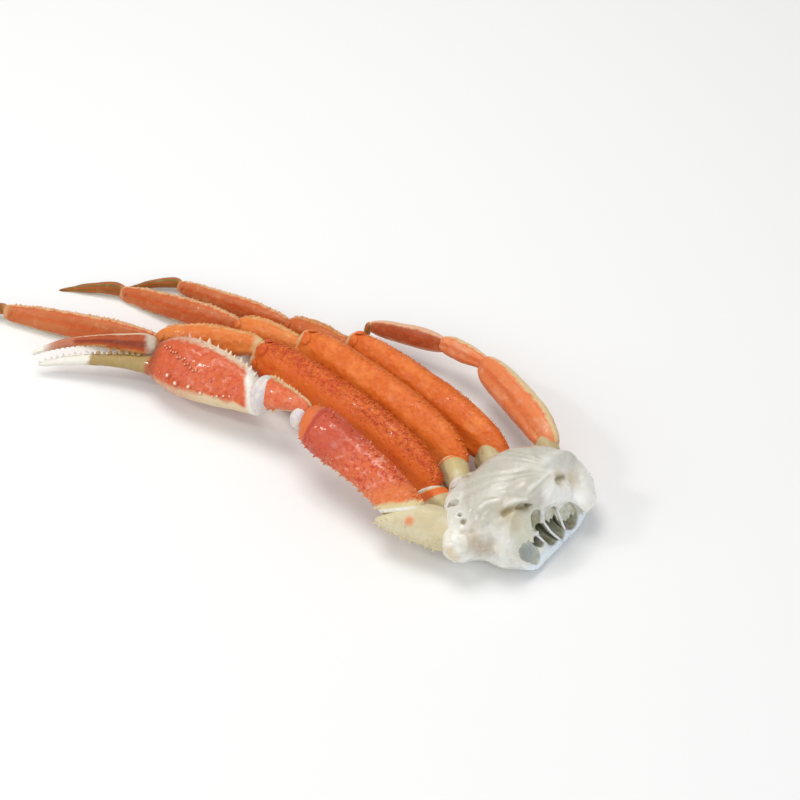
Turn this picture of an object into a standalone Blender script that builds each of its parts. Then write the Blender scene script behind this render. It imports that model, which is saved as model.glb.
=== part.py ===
"""A cooked snow crab cluster: half of a crab's body with its claw leg and four walking legs.

Metres, +Z up. The origin lies on the table under the middle of the cluster. The body half is
at +X and the legs run towards -X, with the claw leg on the -Y side. Each piece of shell is an
object of its own, and the cup at its outer end is cut clear of the next piece's neck.
"""

import math
from dataclasses import dataclass

import bmesh
import bpy
from mathutils import Matrix, Vector

MM = 0.001
GAP = 0.35  # mm of air between a cup and the neck that sits in it
ORIGIN = Vector((-1.8, 1.7, 0.0))  # the place, in mm, that becomes the part's own origin
SIDES = 12  # round a limb piece
RINGS = 11  # along a limb piece
BOXINESS = 2.5  # exponent of a limb's section: 2 is an ellipse, more is squarer
END_ROUNDING = 7.0  # exponent of a limb's ends: more makes them blunter

# Width of a limb piece along its length, as (share of the length, share of the full width).
MERUS = ((0, 0.76), (0.04, 0.93), (0.12, 1.0), (0.6, 0.98), (0.85, 0.92), (1, 0.76))
CLAW_MERUS = ((0, 0.86), (0.15, 0.98), (0.35, 1.0), (0.8, 0.97), (1, 0.88))
CARPUS = ((0, 0.55), (0.15, 0.72), (0.5, 1.0), (0.8, 0.98), (1, 0.8))
PROPODUS = ((0, 0.6), (0.12, 0.86), (0.35, 1.0), (0.7, 0.86), (1, 0.66))
DACTYL = ((0, 0.9), (0.15, 1.0), (0.5, 0.74), (0.8, 0.42), (1, 0.14))
ISCHIUM = ((0, 0.66), (0.3, 0.85), (0.7, 1.0), (1, 0.92))
PALM = ((0, 0.66), (0.1, 0.88), (0.4, 1.0), (0.75, 0.99), (1, 0.84))
FIXED = ((0, 1.0), (0.25, 0.95), (0.45, 0.64), (0.7, 0.5), (0.9, 0.32), (1, 0.15))
MOVING = ((0, 0.8), (0.12, 1.0), (0.3, 0.86), (0.5, 0.56), (0.72, 0.44), (0.9, 0.28), (1, 0.14))


def curve(points, share):
    """The value at a share of the way along a list of (share, value) points, eased between them."""
    for (a, low), (b, high) in zip(points, points[1:]):
        if share <= b:
            step = (share - a) / (b - a)
            return low + (high - low) * step * step * (3 - 2 * step)
    return points[-1][1]


@dataclass
class Piece:
    """One shell piece of a limb. Lengths are millimetres and angles degrees."""

    name: str
    length: float
    heading: float  # from +X, seen from above
    pitch: float  # above the table
    height: float  # from the back edge to the belly edge
    thickness: float
    lean: float  # of the back edge, away from upright
    outline: tuple
    seat: float = 3.0  # how far the neck reaches back into the piece before
    bow: float = 0.0  # how far the axis rises towards the back edge
    bow_at: float = 0.3  # share of the length where it has risen most
    taper: float = 0.0  # how much thinner the back edge is than the belly edge
    step: float = 0.0  # from the end of the piece before to the start, towards the back edge
    start: Vector = None

    def axes(self):
        """Unit vectors along the piece, to its back edge and to its outer face."""
        turn = math.radians(self.heading)
        climb = math.radians(self.pitch)
        level = math.cos(climb)
        along = Vector((level * math.cos(turn), level * math.sin(turn), math.sin(climb)))
        upright = (Vector((0, 0, 1)) - along * along.z).normalized()
        back = Matrix.Rotation(math.radians(self.lean), 3, along) @ upright
        return along, back, back.cross(along)

    def end(self):
        return self.start + self.axes()[0] * self.length

    def rise(self, share):
        """How far the bowed axis stands off the straight one."""
        bent = share ** (math.log(0.5) / math.log(self.bow_at))
        return self.bow * 4 * bent * (1 - bent)

    def bend(self, share):
        """Angle of the bowed axis to the straight one."""
        before = max(0.0, share - 0.1)
        after = min(1.0, share + 0.1)
        run = (after - before) * (self.length + self.seat)
        return math.atan2(self.rise(after) - self.rise(before), run)

    def point(self, share, angle, grow=0.0):
        """A point of the surface, in mm. The angle runs from the back edge to the outer face."""
        along, back, outer = self.axes()
        cap = max(0.0, 1 - abs(2 * share - 1) ** END_ROUNDING) ** (1 / END_ROUNDING)
        width = cap * curve(self.outline, share)
        c = math.cos(angle)
        s = math.sin(angle)
        square = (abs(c) ** BOXINESS + abs(s) ** BOXINESS) ** (-1 / BOXINESS)
        up = c * square * (self.height / 2 * width + grow)
        out = s * square * (self.thickness / 2 * width * (1 - self.taper * c) + grow)
        reach = share * (self.length + self.seat) - self.seat + grow * (2 * share - 1)
        across = back * math.cos(self.bend(share)) - along * math.sin(self.bend(share))
        return self.start + along * reach + back * self.rise(share) + across * up + outer * out


def chain(socket, *pieces):
    """Sets each piece to start where the one before it ends, from the socket outwards."""
    start = Vector(socket)
    for piece in pieces:
        piece.start = start + piece.axes()[1] * piece.step
        start = piece.end()
    return pieces


# Limbs, from the body out. A socket is a place in mm on the table's axes.
CLAW = chain(
    (69.5, -60.5, 12.2),
    Piece("claw_ischium", 19, 152, 5, 16, 11.5, 44, ISCHIUM, seat=5),
    Piece("claw_merus", 47, 132.5, 9.8, 17, 12.5, 46, CLAW_MERUS, seat=2.5, bow=4.0),
    Piece("claw_carpus", 24.5, 136, -14, 12, 11, 40, CARPUS, seat=4, bow=1.0, step=3.6),
    Piece("claw_palm", 44.5, 151.5, -8, 22, 15, 50, PALM, seat=1.5, bow=0.8, step=-1.0),
)
(FIXED_FINGER,) = chain(
    CLAW[-1].end(),
    Piece("fixed", 48, 170.5, -7.2, 7, 6, 50, FIXED, seat=8, bow=3.0, bow_at=0.55, step=-3.2),
)
(MOVING_FINGER,) = chain(
    CLAW[-1].end(),
    Piece(
        "claw_finger", 49, 177.5, -8.7, 7.8, 6.4, 50, MOVING, seat=2, bow=3.2, bow_at=0.6, step=5.8
    ),
)
LEG_1 = chain(
    (68.2, -48.0, 9.6),
    Piece("leg1_ischium", 11.5, 121, 9, 11.5, 8.5, 30, ISCHIUM, seat=4),
    Piece("leg1_merus", 87.5, 134, 1, 18.5, 11, 32, MERUS, seat=2, bow=3.8, taper=0.18),
    Piece("leg1_carpus", 39, 160, -7, 12, 9.5, 36, CARPUS, seat=3, bow=1.0, taper=0.1),
    Piece("leg1_propodus", 62.5, 166, -3.5, 10.5, 7, 30, PROPODUS, seat=3, bow=1.0),
    Piece("leg1_dactyl", 25.5, 178, -10.4, 4.6, 3.8, 30, DACTYL, seat=2, bow=1.6),
)
LEG_2 = chain(
    (72.0, -35.5, 13.5),
    Piece("leg2_ischium", 8.5, 108, -7.5, 12, 9, 28, ISCHIUM, seat=5),
    Piece("leg2_merus", 77, 132.5, 1, 18, 10.8, 30, MERUS, seat=2, bow=3.8, taper=0.18),
    Piece("leg2_carpus", 27.5, 150.5, -5.5, 11.5, 9.5, 36, CARPUS, seat=3, bow=1.0, taper=0.1),
    Piece("leg2_propodus", 52.5, 152.5, -7.3, 10, 6.5, 30, PROPODUS, seat=3, bow=1.5),
    Piece("leg2_dactyl", 25.5, 175, -10.6, 4.4, 3.6, 30, DACTYL, seat=2, bow=1.6),
)
LEG_3 = chain(
    (85.0, -29.5, 13.0),
    Piece("leg3_ischium", 7.5, 114, -8.5, 11.5, 9, 26, ISCHIUM, seat=5),
    Piece("leg3_merus", 71, 132, 0.2, 17, 10.5, 28, MERUS, seat=2, bow=3.6, taper=0.18),
    Piece("leg3_carpus", 26.5, 145, -6, 10.5, 9, 36, CARPUS, seat=3, bow=1.0, taper=0.1),
    Piece("leg3_propodus", 50, 149.5, -6.5, 8.5, 6, 30, PROPODUS, seat=3, bow=1.5),
    Piece("leg3_dactyl", 21, 177, -10.8, 4.2, 3.4, 30, DACTYL, seat=2, bow=1.6),
)
LEG_4 = chain(
    (103.5, -28.5, 18.5),
    Piece("leg4_ischium", 6, 108, -12, 8.5, 7, 20, ISCHIUM, seat=5),
    Piece("leg4_merus", 44, 116, -4.5, 9.5, 7, 30, MERUS, seat=2, bow=1.0, taper=0.1),
    Piece("leg4_carpus", 19.5, 139.5, -4.7, 7.5, 6, 30, CARPUS, seat=2.5, bow=0.6, taper=0.1),
    Piece("leg4_propodus", 30, 148.5, -8.7, 6, 4.6, 30, PROPODUS, seat=2.5, bow=0.8),
    Piece("leg4_dactyl", 9.3, 231, -58, 3.4, 2.8, 20, DACTYL, seat=1.5, bow=0.4),
)
LIMBS = (CLAW, LEG_1, LEG_2, LEG_3, LEG_4)

# Rows of spines on each piece: first share, last share, how many, degrees from the back edge
# towards the outer face, length, radius and the degrees that they stray to each side.
LEG_SPINES = ((0.1, 0.95, 14, 0, 0.7, 0.6, 16),)
SPINE_ROWS = {
    "claw_ischium": ((0.4, 0.85, 4, 150, 0.9, 0.7, 6),),
    "claw_merus": ((0.12, 0.93, 15, 148, 1.4, 0.75, 6), (0.1, 0.9, 12, 16, 1.3, 0.75, 6)),
    "claw_carpus": ((0.3, 0.92, 8, 12, 1.3, 0.8, 6), (0.86, 0.93, 4, 150, 1.2, 0.7, 22)),
    "claw_palm": (
        (0.12, 0.9, 13, 4, 1.7, 1.0, 6),
        (0.22, 0.92, 9, 122, 1.0, 1.1, 4),
        (0.3, 0.9, 8, 72, 0.6, 0.9, 4),
    ),
    "leg1_merus": LEG_SPINES,
    "leg2_merus": LEG_SPINES,
    "leg3_merus": LEG_SPINES,
}
SPINE_SIDES = 5
SPINE_LEAN = 0.25  # towards the limb's tip, as the slope of the spine
SPINE_POINT = 0.18  # radius at the tip for each mm of radius at the foot
TEETH = 11  # along each finger's biting edge
TEETH_FROM, TEETH_TO = 0.24, 0.92  # shares of the finger's length
TOOTH_SIZE = (0.6, 0.3)  # height of the first tooth, and how much of it the last has lost
MEMBRANE_AT = (0.97, 80)  # the skin that bulges from the claw leg's wrist: share and degrees
MEMBRANE_SIZE = (2.4, 5.6, 3.6)

# The body half, seen from above: (angle from +X, distance from its middle) in degrees and mm.
BODY_MIDDLE = Vector((92.0, -50.0, 13.0))
BODY_OUTLINE = (
    (-180, 22), (-152, 26), (-128, 19), (-88, 19), (-60, 21.5), (-20, 25), (0, 28),
    (20, 28), (33, 27), (53, 23), (83, 20), (114, 19), (140, 19), (165, 21), (180, 22),
)
BODY_TOP = 15.5  # mm from the middle to the top, on the high side
BODY_BOTTOM = 15.0  # mm from the middle down, of which the table flattens the last 2
FLANK, CROWN, BELLY = 0.75, 0.8, 0.7  # exponents of the body's curves: less makes them fuller
TOP_SLOPE = Vector((0.1, 0.2))  # rise of the back for each mm towards +X and +Y
FAN_FOOT = Vector((108.0, -46.0))  # where the gill ridges of the top spread from
FAN_REACH = 15.0  # mm from there to where the ridges have their full height
RIDGES = 16  # in a full turn about it
RIDGE_RISE = 0.6
BODY_SIDES, BODY_RINGS = 30, 18

# The swelling at the foot of each limb, which its socket is cut in.
COXA_RADIUS = {"claw": 7.4, "leg1": 6.4, "leg2": 6.6, "leg3": 6.4, "leg4": 5.4}
COXA_DEPTH = 4.0  # from the socket back to its middle

# The sawn face at the middle of the crab, and the muscle cells that open on it.
CUT_FOOT = Vector((98.4, -65.5, 3.0))
CUT_HEADING = 50.5
CUT_LEAN = 24.0
CELLS = (  # (along the cut, up the cut, width, height, degrees its top leans left) in mm
    (0.6, 5.6, 8.0, 9.0, 35),
    (5.2, 13.8, 3.6, 9.0, 8),
    (8.0, 5.6, 4.4, 8.5, 24),
    (13.6, 8.4, 6.2, 14.5, 12),
    (20.8, 6.0, 6.8, 12.0, 0),
)
CELL_DEPTH = 10.0
BROW_AT = (16.0, 21.5, -4.0)  # the swelling over the cells: along the cut, up it and out of it
BROW_SIZE = (15.0, 8.0, 7.5)
BROW_TILT = -20.0
PORE = Vector((106.6, -43.6, 23.5))  # the opening of a leg muscle, on the top
PORE_SIZE = (2.8, 1.5, 4.0)


def clear_scene():
    for obj in list(bpy.data.objects):
        bpy.data.objects.remove(obj, do_unlink=True)


def new_collection(name):
    made = bpy.data.collections.new(name)
    bpy.context.scene.collection.children.link(made)
    return made


def material(name, colour, roughness):
    made = bpy.data.materials.new(name)
    made.use_nodes = True
    shader = made.node_tree.nodes["Principled BSDF"]
    shader.inputs["Base Color"].default_value = (*colour, 1)
    shader.inputs["Roughness"].default_value = roughness
    return made


def new_object(name, bm, collection):
    """A smooth-shaded object from a bmesh whose points are in mm."""
    bmesh.ops.translate(bm, vec=-ORIGIN, verts=bm.verts)
    bmesh.ops.scale(bm, vec=(MM, MM, MM), verts=bm.verts)
    bmesh.ops.recalc_face_normals(bm, faces=bm.faces)
    mesh = bpy.data.meshes.new(name)
    bm.to_mesh(mesh)
    bm.free()
    mesh.shade_smooth()
    obj = bpy.data.objects.new(name, mesh)
    collection.objects.link(obj)
    return obj


def boolean(obj, operation, helpers):
    """Joins a collection of helpers to an object or cuts them from it, then removes them."""
    for helper in helpers.objects:
        helper.hide_render = True
        helper.display_type = "WIRE"
    modifier = obj.modifiers.new(operation, "BOOLEAN")
    modifier.operation = operation
    modifier.solver = "EXACT"
    modifier.operand_type = "COLLECTION"
    modifier.collection = helpers
    bpy.context.view_layer.objects.active = obj
    bpy.ops.object.modifier_apply(modifier=modifier.name)
    for helper in list(helpers.objects):
        bpy.data.objects.remove(helper, do_unlink=True)


def ball(name, middle, size, collection, turn=None):
    """An ellipsoid with its half sizes along its own turned axes."""
    bm = bmesh.new()
    bmesh.ops.create_uvsphere(bm, u_segments=12, v_segments=8, radius=1.0)
    turn = turn or Matrix.Identity(4)
    shape = Matrix.Translation(middle) @ turn @ Matrix.Diagonal((*size, 1))
    bmesh.ops.transform(bm, matrix=shape, verts=bm.verts)
    for vert in bm.verts:
        vert.co.z = max(vert.co.z, 0.0)
    return new_object(name, bm, collection)


def limb_object(name, piece, collection, grow=0.0):
    """A UV sphere whose rings are moved out to stations along the limb piece."""
    bm = bmesh.new()
    bmesh.ops.create_uvsphere(bm, u_segments=SIDES, v_segments=RINGS, radius=1.0)
    for vert in bm.verts:
        share = (1 - vert.co.z) / 2
        angle = math.atan2(vert.co.y, vert.co.x)
        vert.co = piece.point(share, angle, grow)
        if grow == 0:
            vert.co.z = max(vert.co.z, 0.0)
    return new_object(name, bm, collection)


def spine(piece, share, angle, length, radius, collection, lean=SPINE_LEAN):
    """A cone that stands on the shell and leans a little towards the limb's tip."""
    foot = piece.point(share, angle)
    middle = (piece.point(share, 0) + piece.point(share, math.pi)) / 2
    out = (foot - middle).normalized()
    out = (out + piece.axes()[0] * lean).normalized()
    sunk = radius * 0.9
    bm = bmesh.new()
    bmesh.ops.create_cone(
        bm,
        cap_ends=True,
        segments=SPINE_SIDES,
        radius1=radius,
        radius2=radius * SPINE_POINT,
        depth=length + sunk,
    )
    turn = out.to_track_quat("Z", "Y").to_matrix().to_4x4()
    place = Matrix.Translation(foot + out * (length - sunk) / 2) @ turn
    bmesh.ops.transform(bm, matrix=place, verts=bm.verts)
    return new_object("spine", bm, collection)


def spine_row(piece, collection, first, last, count, angle, length, radius, wander):
    """Spines between two shares of a piece, uneven in place and size by a fixed rule."""
    for i in range(count):
        swing = math.sin(2.4 * i + 0.7)
        share = first + (last - first) * (i + 0.3 * swing) / max(1, count - 1)
        turned = math.radians(angle + wander * math.sin(1.9 * i))
        size = 1 + 0.22 * math.sin(3.7 * i + 1.3)
        spine(piece, share, turned, length * size, radius * size, collection)


def teeth(piece, collection, angle):
    """Rounded teeth along a finger's biting edge, smaller towards its tip."""
    for i in range(TEETH):
        share = TEETH_FROM + (TEETH_TO - TEETH_FROM) * i / (TEETH - 1)
        size = TOOTH_SIZE[0] - TOOTH_SIZE[1] * i / TEETH
        spine(piece, share, math.radians(angle), size, size * 1.5, collection, lean=0.0)


def trim(obj, piece):
    """Joins a piece's spines, teeth, membrane and fixed finger to its shell."""
    trims = new_collection("trims")
    for row in SPINE_ROWS.get(piece.name, ()):
        spine_row(piece, trims, *row)
    if piece.name == "claw_carpus":
        share, degrees = MEMBRANE_AT
        turn = Matrix(piece.axes()).transposed().to_4x4()
        middle = piece.point(share, math.radians(degrees))
        ball("membrane", middle, MEMBRANE_SIZE, trims, turn)
    if piece.name == "claw_palm":
        limb_object("fixed_finger", FIXED_FINGER, trims)
        boolean(obj, "UNION", trims)
        teeth(FIXED_FINGER, trims, angle=0)
    if piece.name == "claw_finger":
        teeth(piece, trims, angle=180)
    if trims.objects:
        boolean(obj, "UNION", trims)
    bpy.data.collections.remove(trims)


def build_limb(pieces, collection, cutters):
    """The pieces of a limb, each cut clear of the neck of the next."""
    for i, piece in enumerate(pieces):
        obj = limb_object(piece.name, piece, collection)
        trim(obj, piece)
        if i + 1 < len(pieces):
            limb_object("neck_clearance", pieces[i + 1], cutters, grow=GAP)
            boolean(obj, "DIFFERENCE", cutters)
        obj.data.materials.append(paint_of(piece.name))


def cut_axes():
    """Unit vectors along the sawn face, up it and out of it."""
    turn = math.radians(CUT_HEADING)
    lean = math.radians(CUT_LEAN)
    along = Vector((math.cos(turn), math.sin(turn), 0))
    level = Vector((math.sin(turn), -math.cos(turn), 0))
    out = level * math.cos(lean) + Vector((0, 0, 1)) * math.sin(lean)
    return along, out.cross(along), out


def cut_turn(degrees):
    """The turn from the table's axes to the sawn face's, tilted in that face."""
    tilt = Matrix.Rotation(math.radians(degrees), 4, "Z")
    return Matrix(cut_axes()).transposed().to_4x4() @ tilt


def on_cut(across, rise, proud):
    along, up, out = cut_axes()
    return CUT_FOOT + along * across + up * rise + out * proud


def body_height(steep, x, y):
    """Height of the body over its middle, from how steeply its surface faces up there."""
    if steep <= 0:
        return -(abs(steep) ** BELLY) * BODY_BOTTOM
    fan = Vector((BODY_MIDDLE.x + x, BODY_MIDDLE.y + y)) - FAN_FOOT
    ridge = RIDGE_RISE * math.cos(RIDGES * math.atan2(fan.y, fan.x)) * min(1, fan.length / FAN_REACH)
    slope = TOP_SLOPE.dot(Vector((x, y))) * min(1, steep * 3)
    return steep**CROWN * (BODY_TOP + ridge) + slope


def build_body(collection):
    """A pebble of the body's outline, ridged on top and sawn through at the crab's middle."""
    bm = bmesh.new()
    bmesh.ops.create_uvsphere(bm, u_segments=BODY_SIDES, v_segments=BODY_RINGS, radius=1.0)
    for vert in bm.verts:
        angle = math.atan2(vert.co.y, vert.co.x)
        flat = math.hypot(vert.co.x, vert.co.y)
        spread = flat**FLANK * curve(BODY_OUTLINE, math.degrees(angle))
        x = spread * math.cos(angle)
        y = spread * math.sin(angle)
        vert.co = BODY_MIDDLE + Vector((x, y, body_height(vert.co.z, x, y)))
        vert.co.z = max(vert.co.z, 0.0)
    everything = bm.verts[:] + bm.edges[:] + bm.faces[:]
    sawn = bmesh.ops.bisect_plane(
        bm, geom=everything, plane_co=CUT_FOOT, plane_no=cut_axes()[2], clear_outer=True
    )
    rim = [item for item in sawn["geom_cut"] if isinstance(item, bmesh.types.BMEdge)]
    bmesh.ops.contextual_create(bm, geom=rim)
    bmesh.ops.triangulate(bm, faces=[face for face in bm.faces if len(face.verts) > 4])
    return new_object("shoulder", bm, collection)


def build_shoulder(collection, cutters):
    """The body half with its swellings, and with sockets, muscle cells and a pore cut in it."""
    body = build_body(collection)
    lumps = new_collection("lumps")
    for limb in LIMBS:
        radius = COXA_RADIUS[limb[0].name.split("_")[0]]
        middle = limb[0].start - limb[0].axes()[0] * COXA_DEPTH
        ball("coxa", middle, (radius, radius, radius), lumps)
    ball("brow", on_cut(*BROW_AT), BROW_SIZE, lumps, cut_turn(BROW_TILT))
    boolean(body, "UNION", lumps)
    bpy.data.collections.remove(lumps)
    for across, rise, width, height, slant in CELLS:
        size = (width / 2, height / 2, CELL_DEPTH)
        ball("cell", on_cut(across, rise, -1.0), size, cutters, cut_turn(slant))
    ball("pore", PORE, PORE_SIZE, cutters)
    for limb in LIMBS:
        limb_object("socket", limb[0], cutters, grow=GAP)
        limb_object("second_socket", limb[1], cutters, grow=GAP)
    boolean(body, "DIFFERENCE", cutters)
    body.data.materials.append(FLESH)


def paint_of(name):
    if name.endswith("ischium"):
        return CREAM
    if name.endswith("dactyl") or name == "claw_finger":
        return TIP
    return RED_SHELL if name.startswith("claw") else SHELL


clear_scene()
CLUSTER = new_collection("snow_crab_cluster")
CUTTERS = new_collection("cutters")

SHELL = material("orange_shell", (0.80, 0.22, 0.05), 0.35)
RED_SHELL = material("claw_shell", (0.72, 0.16, 0.07), 0.3)
CREAM = material("cream_shell", (0.78, 0.70, 0.50), 0.4)
FLESH = material("white_flesh", (0.85, 0.82, 0.74), 0.45)
TIP = material("claw_tip", (0.80, 0.62, 0.45), 0.3)

build_limb((*CLAW, MOVING_FINGER), CLUSTER, CUTTERS)
for leg in LIMBS[1:]:
    build_limb(leg, CLUSTER, CUTTERS)
build_shoulder(CLUSTER, CUTTERS)
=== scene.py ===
# %% [markdown]
# # A cooked snow crab cluster
# A cluster is half of a snow crab as it is sold cooked: the sawn half of the body, the claw leg
# and four walking legs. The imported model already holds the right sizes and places, so this lesson
# dresses it: smooth shells with rims and joint skins, spines and granules that stand up as real
# geometry, a torn and translucent white body half, and the colours of cooked crab.

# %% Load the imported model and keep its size
import math
import random
from dataclasses import dataclass, replace

import bmesh
import bpy
import numpy as np
from mathutils import Matrix, Vector, noise


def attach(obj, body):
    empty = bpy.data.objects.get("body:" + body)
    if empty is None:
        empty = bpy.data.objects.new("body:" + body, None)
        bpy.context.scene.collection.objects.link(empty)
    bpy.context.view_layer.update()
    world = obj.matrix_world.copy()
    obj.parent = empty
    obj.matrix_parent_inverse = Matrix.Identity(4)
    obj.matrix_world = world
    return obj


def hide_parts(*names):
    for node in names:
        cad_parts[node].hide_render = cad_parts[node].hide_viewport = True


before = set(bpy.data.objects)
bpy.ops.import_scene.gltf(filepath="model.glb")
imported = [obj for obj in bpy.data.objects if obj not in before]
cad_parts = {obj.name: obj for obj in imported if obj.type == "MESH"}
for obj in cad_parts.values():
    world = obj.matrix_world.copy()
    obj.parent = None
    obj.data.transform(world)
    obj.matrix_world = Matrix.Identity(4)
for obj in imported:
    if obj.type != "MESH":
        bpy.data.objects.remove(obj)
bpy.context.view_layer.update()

random.seed(7)

# %% [markdown]
# ## Floor, light and camera
# The cluster lies on a pale floor. Food looks wet when a broad soft light comes from above and a
# little behind, because the highlights then slide along the tops of the shells, so the key light
# is a wide panel there, and a weaker one fills the near side. Two more stand on the left: one
# opens the shadows, and a small one makes the sharp glints of wet shell. The camera looks down at
# 47 degrees through an 85 mm lens.

# %% Set the stage
CAMERA_TARGET = Vector((0.0548, 0.0113, 0.0))
CAMERA_DISTANCE = 0.680
CAMERA_ELEVATION = math.radians(47)
LIGHTS_FACE = Vector((0.02, 0, 0))


def add_area_light(name, place, size, watts, colour=(1, 1, 1)):
    """A square panel of light that faces the cluster."""
    bpy.ops.object.light_add(type="AREA", location=place)
    light = bpy.context.object
    light.name = name
    light.data.size = size
    light.data.energy = watts
    light.data.color = colour
    light.rotation_euler = (LIGHTS_FACE - Vector(place)).to_track_quat("-Z", "Y").to_euler()
    return light


def plain_material(name, colour, roughness):
    """A material of one colour and one roughness."""
    made = bpy.data.materials.new(name)
    made.use_nodes = True
    shader = made.node_tree.nodes["Principled BSDF"]
    shader.inputs["Base Color"].default_value = (*colour, 1)
    shader.inputs["Roughness"].default_value = roughness
    return made


bpy.ops.object.select_all(action="DESELECT")
bpy.ops.mesh.primitive_plane_add(size=3.0)
floor = bpy.context.object
floor.name = "floor"
floor.data.materials.append(plain_material("pale_floor", (0.86, 0.86, 0.85), 0.7))

add_area_light("key_light", (-0.12, 0.22, 0.95), 0.5, 4.8, (1.0, 0.98, 0.95))
add_area_light("fill_light", (0.35, -0.85, 0.65), 0.8, 3.1, (0.97, 0.98, 1.0))
add_area_light("left_light", (-0.8, -0.3, 0.5), 0.5, 1.4)
add_area_light("glint_light", (-0.72, -0.1, 0.74), 0.11, 1.5)

bpy.context.scene.view_settings.view_transform = "Standard"
world = bpy.data.worlds.new("studio")
bpy.context.scene.world = world
world.use_nodes = True
world.node_tree.nodes["Background"].inputs["Color"].default_value = (0.95, 0.97, 1.0, 1)
world.node_tree.nodes["Background"].inputs["Strength"].default_value = 0.46

view_back = Vector((0, -math.cos(CAMERA_ELEVATION), math.sin(CAMERA_ELEVATION)))
bpy.ops.object.camera_add(location=CAMERA_TARGET + view_back * CAMERA_DISTANCE)
camera = bpy.context.object
camera.rotation_euler = (math.pi / 2 - CAMERA_ELEVATION, 0, 0)
camera.data.lens = 85
camera.data.sensor_width = 36
camera.data.clip_start = 0.01
bpy.context.scene.camera = camera
print("camera at", tuple(round(v, 3) for v in camera.location))

# %% [markdown]
# ## The measures of a limb
# Each limb is a chain of shell pieces. A piece has a length, a direction, a height from its back
# edge to its belly edge, a thickness, and an outline that says how wide it is along its length.
# These are the model's own measures, in millimetres, so whatever is modelled from them lies where
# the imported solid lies.

# %% Say how one shell piece is measured
MM = 0.001
ORIGIN = Vector((-1.8, 1.7, 0.0))  # the place, in mm, of the model's own origin
BOXINESS = 2.5  # exponent of a section: 2 is an ellipse, more is squarer
END_ROUNDING = 7.0

# Outlines: (share of the length, share of the full height and thickness)
MERUS = (
    (0, 0.56), (0.05, 0.68), (0.12, 0.8), (0.22, 0.93), (0.4, 1.0), (0.6, 0.98), (0.85, 0.92), (1, 0.76),
)
CLAW_MERUS = ((0, 0.76), (0.15, 0.79), (0.35, 0.84), (0.8, 0.95), (1, 0.88))
CARPUS = ((0, 0.55), (0.15, 0.72), (0.5, 1.0), (0.8, 0.98), (1, 0.8))
PROPODUS = ((0, 0.6), (0.12, 0.86), (0.35, 1.0), (0.7, 0.86), (1, 0.66))
DACTYL = ((0, 0.9), (0.15, 1.0), (0.5, 0.74), (0.8, 0.42), (1, 0.14))
ISCHIUM = ((0, 0.66), (0.3, 0.85), (0.7, 1.0), (1, 0.92))
CLAW_CARPUS = ((0, 0.36), (0.25, 0.48), (0.6, 0.68), (1, 1.0))
PALM = ((0, 0.64), (0.06, 0.7), (0.2, 0.75), (0.4, 0.9), (0.7, 0.98), (0.9, 0.82), (1, 0.64))
FIXED = (
    (0, 1.5), (0.14, 1.18), (0.21, 0.94), (0.29, 0.8), (0.45, 0.64), (0.7, 0.57), (0.9, 0.4), (1, 0.15),
)
MOVING = (
    (0, 0.95), (0.1, 1.08), (0.2, 0.9), (0.32, 0.68), (0.5, 0.48), (0.72, 0.4), (0.9, 0.28), (1, 0.14),
)


def curve(points, share):
    """The value at a share of the way along a list of (share, value) points, eased between them."""
    for (a, low), (b, high) in zip(points, points[1:]):
        if share <= b:
            step = (share - a) / (b - a)
            return low + (high - low) * step * step * (3 - 2 * step)
    return points[-1][1]


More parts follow.
